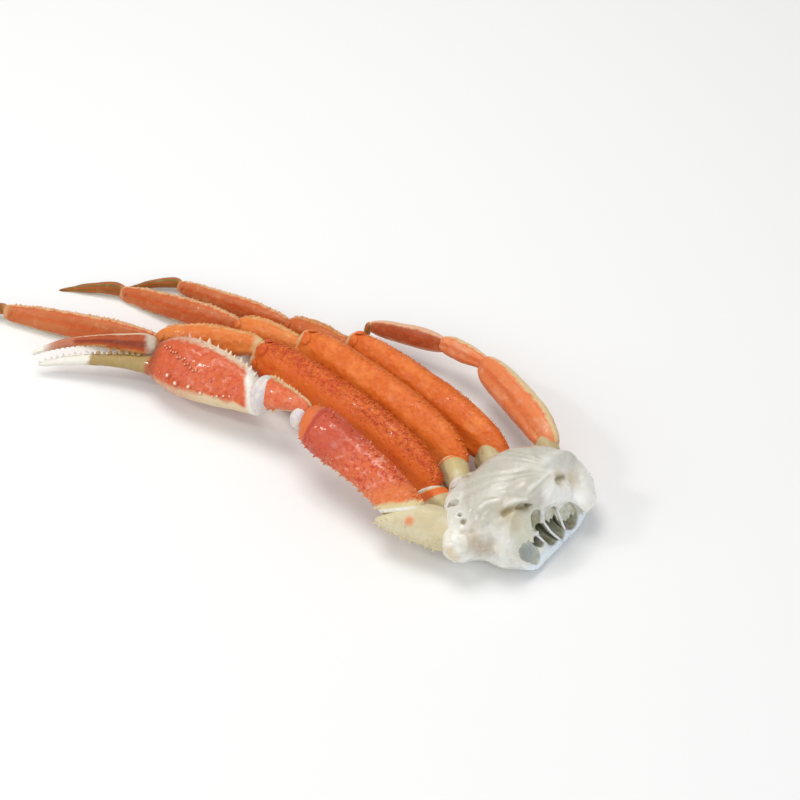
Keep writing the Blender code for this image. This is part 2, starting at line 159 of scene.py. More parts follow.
@dataclass
class Piece:
    """One shell piece of a limb. Lengths are millimetres and angles degrees."""

    name: str
    length: float
    heading: float  # from +X, seen from above
    pitch: float  # above the table
    height: float  # from the back edge to the belly edge
    thickness: float
    lean: float  # of the back edge, away from upright
    outline: tuple
    seat: float = 3.0  # how far the neck reaches back into the piece before
    bow: float = 0.0  # how far the axis rises towards the back edge
    bow_at: float = 0.3  # share of the length where it has risen most
    taper: float = 0.0  # how much thinner the back edge is than the belly edge
    step: float = 0.0  # from the end of the piece before to the start, towards the back edge
    slant: tuple = (0.0, 0.0)  # how far the near and far ends lean along the piece, per mm of height
    start: Vector = None  # set by chain()

    def axes(self):
        """Unit vectors along the piece, to its back edge and to its outer face."""
        turn = math.radians(self.heading)
        climb = math.radians(self.pitch)
        level = math.cos(climb)
        along = Vector((level * math.cos(turn), level * math.sin(turn), math.sin(climb)))
        upright = (Vector((0, 0, 1)) - along * along.z).normalized()
        back = Matrix.Rotation(math.radians(self.lean), 3, along) @ upright
        return along, back, back.cross(along)

    def end(self):
        """Where the next piece starts, before its own step."""
        return self.start + self.axes()[0] * self.length

    def place(self):
        """From the piece's own axes (x outer, y back, z along, mm) to the model's, in metres."""
        along, back, outer = self.axes()
        turn = Matrix((outer, back, along)).transposed().to_4x4()
        return Matrix.Scale(MM, 4) @ Matrix.Translation(self.start - ORIGIN) @ turn

    def rise(self, share):
        """How far the bowed axis stands off the straight one."""
        bent = min(1.0, max(0.0, share)) ** (math.log(0.5) / math.log(self.bow_at))
        return self.bow * 4 * bent * (1 - bent)

    def reach(self, share):
        """How far along the piece a share is, counted from where the piece before it ends."""
        return share * (self.length + self.seat) - self.seat

    def lag(self, share):
        """How far the slanted ends move a point along the piece, for each mm towards the back."""
        near, far = self.slant
        return near + (far - near) * share

    def width(self, share):
        """Share of the full width, rounded off at both ends."""
        cap = max(0.0, 1 - abs(2 * share - 1) ** END_ROUNDING) ** (1 / END_ROUNDING)
        return cap * curve(self.outline, share)

    def local(self, share, angle):
        """A point of the surface on the piece's own axes. The angle runs from back to outer."""
        cosine = math.cos(angle)
        sine = math.sin(angle)
        square = (abs(cosine) ** BOXINESS + abs(sine) ** BOXINESS) ** (-1 / BOXINESS)
        width = self.width(share)
        x = sine * square * self.thickness / 2 * width * (1 - self.taper * cosine)
        y = cosine * square * self.height / 2 * width + self.rise(share)
        return Vector((x, y, self.reach(share) + self.lag(share) * y))

    def stand(self, share, degrees):
        """A point of the surface and its outward normal, on the piece's own axes."""
        angle = math.radians(degrees)
        here = self.local(share, angle)
        ahead = self.local(min(share + 0.01, 0.995), angle) - here
        round_it = self.local(share, angle + 0.05) - self.local(share, angle - 0.05)
        normal = round_it.cross(ahead).normalized()
        middle = Vector((0, self.rise(share), here.z))
        return here, normal if normal.dot(here - middle) > 0 else -normal


def chain(socket, *pieces):
    """Sets each piece to start where the one before it ends, from the socket outwards."""
    start = Vector(socket)
    for piece in pieces:
        piece.start = start + piece.axes()[1] * piece.step
        start = piece.end()
    return pieces


# %% Give the measures of the five limbs
KNEE = (-0.6, 0.0)  # the slant of a walking leg's longest piece
CARPUS_SHELL = 19.0  # the hard part of the claw leg's carpus, whose soft wrist fills the rest
CLAW = chain(
    (69.5, -60.5, 12.2),
    Piece("claw_ischium", 20, 152, 5, 15, 11.5, 44, ISCHIUM, seat=5, step=0.7, slant=(0.0, -1.15)),
    Piece(
        "claw_merus", 46.5, 132.5, 9.8, 17, 12.5, 46, CLAW_MERUS, seat=1.6, bow=3.2, step=-0.2,
        slant=(-1.0, 0.3),
    ),
    Piece(
        "claw_carpus", 24.5, 136, -14, 12.4, 11, 40, CLAW_CARPUS, seat=0.5, bow=1.0, step=3.0,
        slant=(0.0, 0.3),
    ),
    Piece("claw_palm", 45.5, 149, -5, 22, 15, 50, PALM, seat=1.5, bow=1.6, step=-3.6, slant=(0.5, 0.0)),
)
CLAW = (*CLAW[:2], replace(CLAW[2], length=CARPUS_SHELL), CLAW[3])
(FIXED_FINGER,) = chain(
    CLAW[-1].end(),
    Piece("fixed_finger", 45.5, 170.5, -7.2, 7, 6, 50, FIXED, seat=8, bow=3.0, bow_at=0.55, step=-4.2),
)
(MOVING_FINGER,) = chain(
    CLAW[-1].end(),
    Piece("claw_finger", 46.5, 177.5, -8.7, 7.8, 6.4, 50, MOVING, seat=2, bow=3.6, bow_at=0.6, step=4.6),
)
LEG_1 = chain(
    (68.2, -48.0, 9.6),
    Piece("leg1_ischium", 11.5, 121, 9, 11.5, 8.5, 30, ISCHIUM, seat=4, slant=(0.0, -0.5)),
    Piece(
        "leg1_merus", 87.5, 134, 1, 18.5, 11, 32, MERUS, seat=2.6, bow=3.8, bow_at=0.36, taper=0.18,
        slant=KNEE,
    ),
    Piece("leg1_carpus", 38.5, 164, -9, 12, 9.5, 36, CARPUS, seat=3, bow=1.4, taper=0.1, step=1.2),
    Piece("leg1_propodus", 62.5, 161.8, -1.9, 10.5, 7, 30, PROPODUS, seat=3, bow=0.6, step=-2.0),
    Piece("leg1_dactyl", 25.5, 178, -9.6, 4.6, 3.8, 30, DACTYL, seat=2, bow=1.6),
)
LEG_2 = chain(
    (72.0, -35.5, 13.5),
    Piece("leg2_ischium", 8.5, 108, -7.5, 12, 9, 28, ISCHIUM, seat=5, slant=(0.0, -0.4)),
    Piece(
        "leg2_merus", 77, 132.5, 1, 18, 10.8, 30, MERUS, seat=5.2, bow=3.8, bow_at=0.36, taper=0.18,
        slant=KNEE,
    ),
    Piece("leg2_carpus", 27, 150, -6.6, 11.5, 9.5, 36, CARPUS, seat=3, taper=0.1, step=-2.2),
    Piece("leg2_propodus", 52.5, 151.2, -5.9, 10, 6.5, 30, PROPODUS, seat=3, bow=1.0, step=-1.0),
    Piece("leg2_dactyl", 25.5, 171, -6.2, 5.2, 3.8, 30, DACTYL, seat=2, bow=1.6),
)
LEG_3 = chain(
    (85.0, -29.5, 13.0),
    Piece("leg3_ischium", 7.5, 114, -8.5, 11.5, 9, 26, ISCHIUM, seat=5),
    Piece("leg3_merus", 71, 132, 0.2, 17, 10.5, 28, MERUS, seat=7.5, bow=3.6, taper=0.18, slant=KNEE),
    Piece("leg3_carpus", 26.5, 148.5, -6.0, 10.5, 9, 36, CARPUS, seat=3, taper=0.1, step=-1.8),
    Piece("leg3_propodus", 50.5, 147.6, -5.2, 8.5, 6, 30, PROPODUS, seat=3, bow=0.8, step=-0.6),
    Piece("leg3_dactyl", 21, 176, -8.0, 4.2, 3.4, 30, DACTYL, seat=2, bow=1.6),
)
LEG_4 = chain(
    (103.5, -28.5, 18.5),
    Piece("leg4_ischium", 6, 108, -12, 8.5, 7, 20, ISCHIUM, seat=5),
    Piece("leg4_merus", 44, 116, -4.5, 13.0, 8, 30, MERUS, seat=6, bow=2.2, taper=0.1, step=1.0),
    Piece("leg4_carpus", 19.5, 139.5, -4.7, 7.5, 6, 30, CARPUS, seat=2.5, bow=0.6, taper=0.1),
    Piece("leg4_propodus", 30, 150.5, -8.7, 8.2, 5.2, 30, PROPODUS, seat=2.5, bow=0.8, step=-1.4),
    Piece("leg4_dactyl", 9.0, 231, -54, 3.4, 2.8, 20, DACTYL, seat=1.5, bow=0.4),
)
LIMBS = ((*CLAW, MOVING_FINGER), LEG_1, LEG_2, LEG_3, LEG_4)
print("limb pieces:", sum(len(limb) for limb in LIMBS))

# %% [markdown]
# ## Small helpers for modelling by hand
# An operator acts on whatever is selected, so every step starts from an empty selection. A piece
# is modelled on its own axes in millimetres, where lengths are easy to think about, and is then
# laid in place. Laying it in place is applied to the mesh, so the object itself stays at the
# origin.


# %% Define the helpers
def deselect_all():
    """Leaves edit mode and empties the selection."""
    if bpy.context.mode != "OBJECT":
        bpy.ops.object.mode_set(mode="OBJECT")
    bpy.ops.object.select_all(action="DESELECT")


def only(obj):
    """Makes this object the one that is selected and active."""
    deselect_all()
    obj.select_set(True)
    bpy.context.view_layer.objects.active = obj


def apply_transform(obj, matrix):
    """Lays an object in place and puts the place in its mesh."""
    only(obj)
    obj.matrix_world = matrix
    bpy.ops.object.transform_apply(location=True, rotation=True, scale=True)


def apply_modifier(obj, kind, **settings):
    """Adds a modifier, sets it up and applies it."""
    only(obj)
    modifier = obj.modifiers.new(kind.lower(), kind)
    for name, value in settings.items():
        setattr(modifier, name, value)
    bpy.ops.object.modifier_apply(modifier=modifier.name)


def join(first, others):
    """Joins other objects to a piece, as Ctrl+J does."""
    only(first)
    for other in others:
        other.select_set(True)
    bpy.ops.object.join()


def copies(template, matrices, pot):
    """A copy of a small model at each place, each with its own mesh, in the shell's paint."""
    made = []
    for matrix in matrices:
        copy = template.copy()
        copy.data = template.data.copy()
        copy.data.materials.append(pot)
        copy.matrix_world = matrix
        bpy.context.scene.collection.objects.link(copy)
        made.append(copy)
    return made


def select_verts(obj, chosen):
    """Selects, in edit mode, the vertices that a rule on their places chooses."""
    mesh = bmesh.from_edit_mesh(obj.data)
    for vert in mesh.verts:
        vert.select = chosen(vert.co)
    mesh.select_flush_mode()
    bmesh.update_edit_mesh(obj.data)


def paint_selected(slot):
    """Gives the selected faces the material in a slot."""
    bpy.context.object.active_material_index = slot
    bpy.ops.object.material_slot_assign()


def keep_above(obj, height):
    """Lifts every vertex that lies lower than a height, such as the table's."""
    for vert in obj.data.vertices:
        vert.co.z = max(vert.co.z, height)


# %% [markdown]
# ## A shell piece
# A crab's leg piece is a flattened tube. Its back edge is thinner than its belly, it swells a
# little behind the joint, and its far end is a cup with a rim, closed by pale skin that the next
# piece's neck comes out of. By hand one would start from a filled circle, square it a little, and
# extrude it along the leg, resizing it at each station. That is what happens here, with the
# measures deciding each step. Subdivision then rounds what the few stations leave.

# %% Model a shell piece by extruding a circle
PROFILE_SIDES = 24
SKIN_SLOT = 1  # the material slot of the joint skin
RIM = {0.94: 0.985, 0.975: 0.99, 0.995: 1.05}  # how the shell swells into its rim at the cup
# Keels: (degrees from the back edge, how far the section is pushed out or in there)
LEG_KEELS = ((45, 1.05), (60, 1.03), (90, 0.96), (105, 0.95), (150, 1.03), (180, 1.02))
CLAW_KEELS = ((0, 1.04), (30, 0.97), (135, 1.04), (150, 1.03))
# Stations: shares of the length at which the circle is extruded again
STATIONS = (0.004, 0.03, 0.07, 0.13, 0.22, 0.34, 0.46, 0.58, 0.7, 0.8, 0.88, 0.94, 0.975, 0.995)
TIP_STATIONS = (0.004, 0.04, 0.1, 0.18, 0.28, 0.38, 0.48, 0.58, 0.68, 0.78, 0.87, 0.94, 0.98)


def turned_by(co):
    """Degrees from the back edge towards the outer face, whichever side the point is on."""
    return math.degrees(math.atan2(abs(co.x), co.y))


def square_the_profile(obj, taper, keels):
    """Squares a circle, makes its back half thinner than its belly half, and raises the keels."""
    for degrees, push in ((15, 1.02), (30, 1.055), (45, 1.072), (60, 1.055), (75, 1.02)):
        select_verts(obj, lambda co: abs(min(turned_by(co), 180 - turned_by(co)) - degrees) < 5)
        bpy.ops.transform.resize(value=(push, push, 1), center_override=(0, 0, 0))
    for side in (1, -1):
        select_verts(obj, lambda co: co.y * side > 0.3)
        bpy.ops.transform.resize(value=(1 - side * taper * 0.8, 1, 1), center_override=(0, 0, 0))
    for degrees, push in keels:
        select_verts(obj, lambda co: abs(turned_by(co) - degrees) < 9)
        bpy.ops.transform.resize(value=(push, push, 1), center_override=(0, 0, 0))


def extrude_stations(piece, stations, rim):
    """Extrudes the selected face from station to station along the piece's bowed axis."""
    before = stations[0]
    for share in stations[1:]:
        step = (0, piece.rise(share) - piece.rise(before), piece.reach(share) - piece.reach(before))
        bpy.ops.mesh.extrude_region_move(TRANSFORM_OT_translate={"value": step})
        ratio = piece.width(share) * rim.get(share, 1) / (piece.width(before) * rim.get(before, 1))
        middle = (0, piece.rise(share), piece.reach(share))
        bpy.ops.transform.resize(value=(ratio, ratio, 1), center_override=middle)
        before = share


def fold_into_cup(piece, share, depth):
    """Turns the rim inwards and sinks the face that closes it, which becomes joint skin."""
    middle = (0, piece.rise(share), piece.reach(share))
    for shrink, sink in ((0.93, 0.25), (0.86, -0.35 * depth), (0.9, -0.4 * depth)):
        bpy.ops.mesh.extrude_region_move(TRANSFORM_OT_translate={"value": (0, 0, sink)})
        bpy.ops.transform.resize(value=(shrink, shrink, 1), center_override=middle)
    paint_selected(SKIN_SLOT)
    bpy.ops.mesh.inset(thickness=piece.thickness * 0.12)


def shell_of(piece, paints, cup=True, levels=3, keels=LEG_KEELS):
    """The smooth shell of one limb piece, on its own axes in millimetres."""
    deselect_all()
    bpy.ops.mesh.primitive_circle_add(vertices=PROFILE_SIDES, radius=1.0, fill_type="NGON")
    shell = bpy.context.object
    shell.name = piece.name + "_shell"
    for pot in paints:
        shell.data.materials.append(pot)
    bpy.ops.object.mode_set(mode="EDIT")
    square_the_profile(shell, piece.taper, keels)
    stations = STATIONS if cup else TIP_STATIONS
    first = piece.width(stations[0])
    select_verts(shell, lambda co: True)
    size = (piece.thickness / 2 * first, piece.height / 2 * first, 1)
    bpy.ops.transform.resize(value=size, center_override=(0, 0, 0))
    start = (0, piece.rise(stations[0]), piece.reach(stations[0]))
    bpy.ops.transform.translate(value=start)
    bpy.ops.mesh.select_mode(type="FACE")
    extrude_stations(piece, stations, RIM if cup else {})
    if cup:
        fold_into_cup(piece, stations[-1], depth=min(2.5, piece.thickness * 0.25))
    bpy.ops.mesh.select_all(action="SELECT")
    bpy.ops.mesh.normals_make_consistent(inside=False)
    bpy.ops.mesh.select_mode(type="VERT")
    bpy.ops.object.mode_set(mode="OBJECT")
    apply_modifier(shell, "SUBSURF", levels=levels, render_levels=levels)
    for vert in shell.data.vertices:  # slants the two ends
        vert.co.z += piece.lag((vert.co.z + piece.seat) / (piece.length + piece.seat)) * vert.co.y
    return shell


# %% [markdown]
# ## Spines and granules
# A spine is a small cone with a bent, rounded point. It is modelled once, with its foot sunk in
# the shell, and copied along the rows where the crab has spines. A granule is a low dome, also
# modelled once. Copies that stand on the measured surface look far crisper than a bump pattern,
# and they also stand out in the outline. The claw's teeth and the knobs at the knees are domes too.

# %% Model one spine and one dome
def spine_template():
    """A cone with a blunt, slightly hooked point. It is 1 mm in radius and 1 mm tall."""
    deselect_all()
    bpy.ops.mesh.primitive_cone_add(
        vertices=8, radius1=1.0, radius2=0.16, depth=1.5, location=(0, 0, 0.25)
    )
    spine = bpy.context.object
    bpy.ops.object.mode_set(mode="EDIT")
    bpy.ops.mesh.select_all(action="SELECT")
    bpy.ops.mesh.subdivide(number_cuts=1)
    select_verts(spine, lambda co: 0.1 < co.z < 0.5)
    bpy.ops.transform.resize(value=(0.8, 0.8, 1), center_override=(0, 0, 0.25))
    select_verts(spine, lambda co: co.z > 0.9)
    bpy.ops.transform.translate(value=(0, 0.12, 0))
    bpy.ops.object.mode_set(mode="OBJECT")
    bpy.ops.object.shade_smooth()
    return spine


def dome_template(top, name):
    """An egg cut off a little below its middle. More top makes it more pointed."""
    deselect_all()
    bpy.ops.mesh.primitive_ico_sphere_add(subdivisions=2, radius=1.0)
    dome = bpy.context.object
    dome.name = name
    bpy.ops.object.mode_set(mode="EDIT")
    select_verts(dome, lambda co: co.z < -0.3)
    bpy.ops.mesh.delete(type="VERT")
    select_verts(dome, lambda co: co.z > 0.4)
    bpy.ops.transform.resize(value=(1 - top, 1 - top, 1), center_override=(0, 0, 0))
    bpy.ops.object.mode_set(mode="OBJECT")
    bpy.ops.object.shade_smooth()
    return dome


def standing(piece, share, degrees, length, radius, lean=0.25):
    """The place of a spine that stands on the shell and leans towards the limb's tip."""
    foot, normal = piece.stand(share, degrees)
    out = (normal + Vector((0, 0, lean))).normalized()
    turn = out.to_track_quat("Z", "Y").to_matrix().to_4x4()
    return Matrix.Translation(foot) @ turn @ Matrix.Diagonal((radius, radius, length, 1))


def spine_row(piece, first, last, count, angle, length, radius, wander=6, lean=0.25):
    """Places between two shares of a piece, uneven in place and size by a fixed rule."""
    made = []
    for i in range(count):
        share = first + (last - first) * (i + 0.3 * math.sin(2.4 * i + 0.7)) / max(1, count - 1)
        degrees = angle + wander * math.sin(1.9 * i)
        size = 1 + 0.22 * math.sin(3.7 * i + 1.3)
        made.append(standing(piece, share, degrees, length * size, radius * size, lean))
    return made


GOLDEN_RATIO = 0.61803398875


def granule_field(piece, count, shares, angles, radius, rise):
    """Places spread evenly over a patch of a piece by a golden-ratio rule with a little chance."""
    made = []
    for i in range(count):
        share = shares[0] + (shares[1] - shares[0]) * ((i + 0.5) / count)
        spread = (i * GOLDEN_RATIO + random.uniform(-0.06, 0.06)) % 1.0
        degrees = angles[0] + (angles[1] - angles[0]) * spread
        size = random.uniform(0.5, 1.2)
        share += random.uniform(-0.01, 0.01)
        made.append(standing(piece, share, degrees, rise * size, radius * size, 0.0))
    return made


SPINE = spine_template()
GRANULE = dome_template(0.0, "granule")
TOOTH = dome_template(0.22, "tooth")
KNOB = dome_template(0.0, "knob")
print("spine faces:", len(SPINE.data.polygons), "granule faces:", len(GRANULE.data.polygons))

# %% [markdown]
# ## Numbers on the vertices
# A pattern that should follow a leg, such as its cream belly, has to know where on the leg a point
# lies. Every vertex therefore keeps a few numbers, which Blender calls attributes: its share of the
# way along the piece, and how far round it lies towards the back edge and the outer face.


# %% Note on every vertex where it lies on its piece
def set_attribute(obj, name, values):
    """Stores one number for each vertex, which a material can then read by name."""
    layer = obj.data.attributes.get(name) or obj.data.attributes.new(name, "FLOAT", "POINT")
    layer.data.foreach_set("value", np.asarray(values, dtype=np.float32))


def vertex_places(obj):
    """The places of all vertices, as rows of x, y and z."""
    places = np.empty(len(obj.data.vertices) * 3, np.float32)
    obj.data.vertices.foreach_get("co", places)
    return places.reshape(-1, 3)


def near_points(spots, points, radius):
    """A soft mask round some places: 1 near them, fading to 0 at the radius."""
    gap = np.min([np.linalg.norm(points - np.array(spot), axis=1) for spot in spots], axis=0)
    return np.clip(1.4 * (1 - gap / radius), 0, 1)


def note_places(obj, piece):
    """Stores how far along each vertex lies, and how far towards the back and outer faces."""
    inverse = np.array(piece.place().inverted())
    local = vertex_places(obj) @ inverse[:3, :3].T + inverse[:3, 3]
    near, far = piece.slant
    stretch = piece.length + piece.seat + (far - near) * local[:, 1]
    share = (local[:, 2] + piece.seat - near * local[:, 1]) / stretch
    rise = np.array([piece.rise(float(part)) for part in share])
    x = local[:, 0] / piece.thickness
    y = (local[:, 1] - rise) / piece.height
    length = np.maximum(np.hypot(x, y), 1e-6)
    set_attribute(obj, "along", share)
    set_attribute(obj, "back", y / length)
    set_attribute(obj, "outer", x / length)


# %% [markdown]
# ## Building materials from parts
# Cooked shell isn't one colour. It has soft clouds of deeper and paler orange, tiny red dots,
# stripes along the thin pieces, a cream belly and pale spine tips. Clouds, dots and stripes are
# small node groups that give back a mask, built once and used in many materials with their own
# values. The stripes, the belly and the tips read what every vertex says about its place on its
# piece, so they follow the shell.


# %% Define the node helpers
def add_node(tree, kind, inputs=None, **settings):
    """Adds a node, sets it up, and links or fills its inputs."""
    node = tree.nodes.new(kind)
    for name, value in settings.items():
        setattr(node, name, value)
    for key, value in (inputs or {}).items():
        if isinstance(value, bpy.types.NodeSocket):
            tree.links.new(value, node.inputs[key])
        else:
            node.inputs[key].default_value = value
    return node


def new_group(name, inputs):
    """An empty node group with named number inputs and one mask, and its two end nodes."""
    group = bpy.data.node_groups.new(name, "ShaderNodeTree")
    for socket, value in inputs.items():
        made = group.interface.new_socket(socket, in_out="INPUT", socket_type="NodeSocketFloat")
        made.default_value = value
    group.interface.new_socket("Mask", in_out="OUTPUT", socket_type="NodeSocketFloat")
    return group, group.nodes.new("NodeGroupInput"), group.nodes.new("NodeGroupOutput")


def noise_at(tree, scale, detail=3.0):
    """A noise pattern on Object coordinates, with scale repeats in each metre."""
    place = add_node(tree, "ShaderNodeTexCoord").outputs["Object"]
    inputs = {"Vector": place, "Scale": scale, "Detail": detail}
    return add_node(tree, "ShaderNodeTexNoise", inputs).outputs["Fac"]


def ramp(tree, value, low, high, start=0.0, end=1.0):
    """Runs smoothly from start to end as the value goes from low to high."""
    return add_node(
        tree,
        "ShaderNodeMapRange",
        {"Value": value, "From Min": low, "From Max": high, "To Min": start, "To Max": end},
        interpolation_type="SMOOTHSTEP",
    ).outputs[0]


def attribute(tree, name):
    """The number that set_attribute stored under a name."""
    return add_node(tree, "ShaderNodeAttribute", attribute_name=name).outputs["Fac"]


def maths(tree, operation, first, second=0.0):
    """One sum on one or two values."""
    return add_node(tree, "ShaderNodeMath", {0: first, 1: second}, operation=operation).outputs[0]


# %% Make the mottle, dots and stripes groups
def mottle_group():
    """Soft clouds: Size is their mm, and the mask starts at a noise of Low and is full at High."""
    group, given, result = new_group("mottle", {"Size": 8.0, "Low": 0.4, "High": 0.65})
    scale = maths(group, "DIVIDE", 1000.0, given.outputs["Size"])
    pattern = noise_at(group, scale, 4.0)
    mask = ramp(group, pattern, given.outputs["Low"], given.outputs["High"])
    group.links.new(mask, result.inputs["Mask"])
    return group


def dots_group():
    """Small round dots: Size is the mm between them, Radius their share of that."""
    group, given, result = new_group("dots", {"Size": 1.5, "Radius": 0.3, "Kept": 0.5})
    scale = maths(group, "DIVIDE", 1000.0, given.outputs["Size"])
    place = add_node(group, "ShaderNodeTexCoord")
    cells = add_node(group, "ShaderNodeTexVoronoi", {"Vector": place.outputs["Object"], "Scale": scale})
    near = maths(group, "DIVIDE", cells.outputs["Distance"], given.outputs["Radius"])
    dot = ramp(group, near, 0.6, 1.0, 1.0, 0.0)
    chance = add_node(group, "ShaderNodeSeparateColor", {"Color": cells.outputs["Color"]})
    kept = maths(group, "LESS_THAN", chance.outputs[0], given.outputs["Kept"])
    mask = maths(group, "MULTIPLY", dot, kept)
    group.links.new(mask, result.inputs["Mask"])
    return group


def stripes_group():
    """Fine stripes that run along the piece. A greater Count makes more of them round it."""
    group, given, result = new_group("stripes", {"Count": 9.0, "Low": 0.45, "High": 0.7})
    across = add_node(
        group,
        "ShaderNodeCombineXYZ",
        {
            0: maths(group, "MULTIPLY", attribute(group, "outer"), given.outputs["Count"]),
            1: maths(group, "MULTIPLY", attribute(group, "back"), given.outputs["Count"]),
            2: maths(group, "MULTIPLY", attribute(group, "along"), 1.6),
        },
    )
    pattern = add_node(
        group, "ShaderNodeTexNoise", {"Vector": across.outputs[0], "Scale": 1.0, "Detail": 3.0}
    )
    mask = ramp(group, pattern.outputs["Fac"], given.outputs["Low"], given.outputs["High"])
    group.links.new(mask, result.inputs["Mask"])
    return group


MOTTLE, DOTS, STRIPES = mottle_group(), dots_group(), stripes_group()


def use(tree, group, **values):
    """Places a group in a material with its own values and gives back its mask."""
    node = tree.nodes.new("ShaderNodeGroup")
    node.node_tree = group
    for name, value in values.items():
        node.inputs[name].default_value = value
    return node.outputs["Mask"]


def paint(tree, under, colour, mask, strength=1.0):
    """Lays a colour over another where the mask is white."""
    cover = maths(tree, "MULTIPLY", mask, strength) if strength != 1.0 else mask
    mixed = add_node(tree, "ShaderNodeMix", data_type="RGBA")
    tree.links.new(cover, mixed.inputs[0])
    for socket, value in ((6, under), (7, colour)):
        if isinstance(value, bpy.types.NodeSocket):
            tree.links.new(value, mixed.inputs[socket])
        else:
            mixed.inputs[socket].default_value = (*value, 1)
    return mixed.outputs[2]


def bump_from(tree, height, strength, distance, normal=None):
    """Bends the normals as if the surface stood out where the height is great."""
    inputs = {"Height": height, "Strength": strength, "Distance": distance}
    if normal is not None:
        inputs["Normal"] = normal
    return add_node(tree, "ShaderNodeBump", inputs).outputs[0]


# %% [markdown]
# ## Cooked shell
# The shell is hard and wet: a coat of water over pigment that lies under the surface. The
# Principled shader's coat gives the sharp highlight, and a little subsurface scattering makes the
# orange glow. The colour is built up as a painter would: the ground, then clouds, the dots, the
# cream belly, the bands near the joints, and last the pale spine tips.

# %% Mix the colours and write down how shell is painted
ORANGE, DEEP_ORANGE, PALE_ORANGE = (0.76, 0.145, 0.014), (0.64, 0.080, 0.008), (0.82, 0.235, 0.045)
RED, SALMON, CORAL = (0.48, 0.028, 0.006), (0.66, 0.135, 0.046), (0.72, 0.22, 0.11)
CREAM, WHITE = (0.72, 0.60, 0.32), (0.82, 0.79, 0.70)
# The dark groove colour is painted shade where a groove runs that isn't modelled.
# The pink is partly the shell's own pink and partly a painted highlight of wet shell.
PALE_GRAIN, PINK_AND_SHEEN, GROOVE_SHADE = (0.88, 0.44, 0.19), (0.80, 0.34, 0.24), (0.16, 0.022, 0.006)


def shell_material(
    name, ground, clouds, pale, ends=(), rings=(), belly=(-0.97, -0.75), underside=CREAM,
    tip=PALE_GRAIN, edge=None, edge_at=(0.98, 1.14), groove=0.0, fine=0.0, dots=0.5, stripes=0.0,
    rough=0.0, wet=0.25,
):
    """Cooked shell.

    ends are (low, high, colour, strength) ramps along the piece, and rings are crisp bands (from,
    to, colour) round it. Counted from -1 at the belly edge to 1 at the back edge, belly says where
    the underside's colour fades out, and edge_at where the edge's colour fades in. groove, fine,
    dots, stripes, rough and wet say how much there is of each. groove is painted shade along the
    middle of the outer face, where a groove runs that isn't modelled, and fine lays red and pink
    clouds, the pink ones partly a painted highlight of wet shell.
    """
    made = bpy.data.materials.new(name)
    made.use_nodes = True
    tree = made.node_tree
    shader = tree.nodes["Principled BSDF"]
    colour = paint(tree, ground, clouds, use(tree, MOTTLE, Size=9.0, Low=0.42, High=0.68), 0.75)
    colour = paint(tree, colour, pale, use(tree, MOTTLE, Size=3.0, Low=0.52, High=0.8), 0.55)
    back = attribute(tree, "back")
    if stripes:
        colour = paint(tree, colour, DEEP_ORANGE, use(tree, STRIPES, Count=3.5), stripes)
    if fine:
        colour = paint(tree, colour, RED, use(tree, MOTTLE, Size=1.5, Low=0.48, High=0.62), fine)
        # pink clouds, partly the shell's own pink and partly a painted highlight of wet shell
        colour = paint(tree, colour, PINK_AND_SHEEN, use(tree, MOTTLE, Size=2.4, Low=0.56, High=0.66), fine)
    # painted shade along the middle of the outer face, where a groove runs that isn't modelled
    if groove:
        hollow = maths(tree, "ABSOLUTE", maths(tree, "ADD", back, 0.1))
        colour = paint(tree, colour, GROOVE_SHADE, ramp(tree, hollow, 0.1, 0.45, 1.0, 0.0), groove)
    grain = bump_from(tree, noise_at(tree, 1400.0, 3.0), 0.3, 0.0002)
    if rough:
        ridge = ramp(tree, back, 0.2, 0.7)
        pebbles = use(tree, DOTS, Size=1.15, Radius=0.75, Kept=2.0)
        grain = bump_from(tree, maths(tree, "MULTIPLY", pebbles, ridge), rough, 0.0004, grain)
        colour = paint(tree, colour, RED, maths(tree, "MULTIPLY", ridge, use(tree, MOTTLE, Size=1.6)), rough)
    if edge:
        ragged = maths(tree, "ADD", back, maths(tree, "MULTIPLY", noise_at(tree, 500.0), 0.3))
        colour = paint(tree, colour, edge, ramp(tree, ragged, *edge_at), 0.85)
    colour = paint(tree, colour, RED, use(tree, DOTS, Size=1.7, Radius=0.26, Kept=0.4), dots)
    wander = maths(tree, "MULTIPLY", maths(tree, "SUBTRACT", noise_at(tree, 260.0, 4.0), 0.5), 0.35)
    lower = maths(tree, "ADD", back, wander)
    colour = paint(tree, colour, underside, ramp(tree, lower, belly[0], belly[1], 1.0, 0.0), 0.9)
    along = maths(tree, "ADD", attribute(tree, "along"), maths(tree, "MULTIPLY", wander, 0.22))
    for low, high, shade, strength in ends:
        colour = paint(tree, colour, shade, ramp(tree, along, low, high), strength)
    for low, high, shade in rings:
        middle = maths(tree, "ABSOLUTE", maths(tree, "SUBTRACT", attribute(tree, "along"), (low + high) / 2))
        half = (high - low) / 2
        colour = paint(tree, colour, shade, ramp(tree, middle, half * 0.8, half * 0.8 + 0.02, 1.0, 0.0), 0.95)
    colour = paint(tree, colour, ORANGE, attribute(tree, "spot"), 0.7)
    colour = paint(tree, colour, tip, ramp(tree, attribute(tree, "spine"), 0.5, 1.0), 0.9)
    tree.links.new(colour, shader.inputs["Base Color"])
    film = use(tree, MOTTLE, Size=3.5, Low=0.45, High=0.7)
    tree.links.new(ramp(tree, film, 0.0, 1.0, 0.52, 0.34), shader.inputs["Roughness"])
    tree.links.new(ramp(tree, film, 0.2, 1.0, wet * 0.2, wet), shader.inputs["Coat Weight"])
    shader.inputs["Coat Roughness"].default_value = 0.08
    shader.inputs["Specular IOR Level"].default_value = 0.3
    shader.inputs["Subsurface Weight"].default_value = 0.1
    shader.inputs["Subsurface Radius"].default_value = (1.0, 0.3, 0.1)
    shader.inputs["Subsurface Scale"].default_value = 0.002
    grain = bump_from(tree, use(tree, MOTTLE, Size=2.2, Low=0.3, High=0.7), 0.5, 0.0004, grain)
    tree.links.new(grain, shader.inputs["Normal"])
    return made


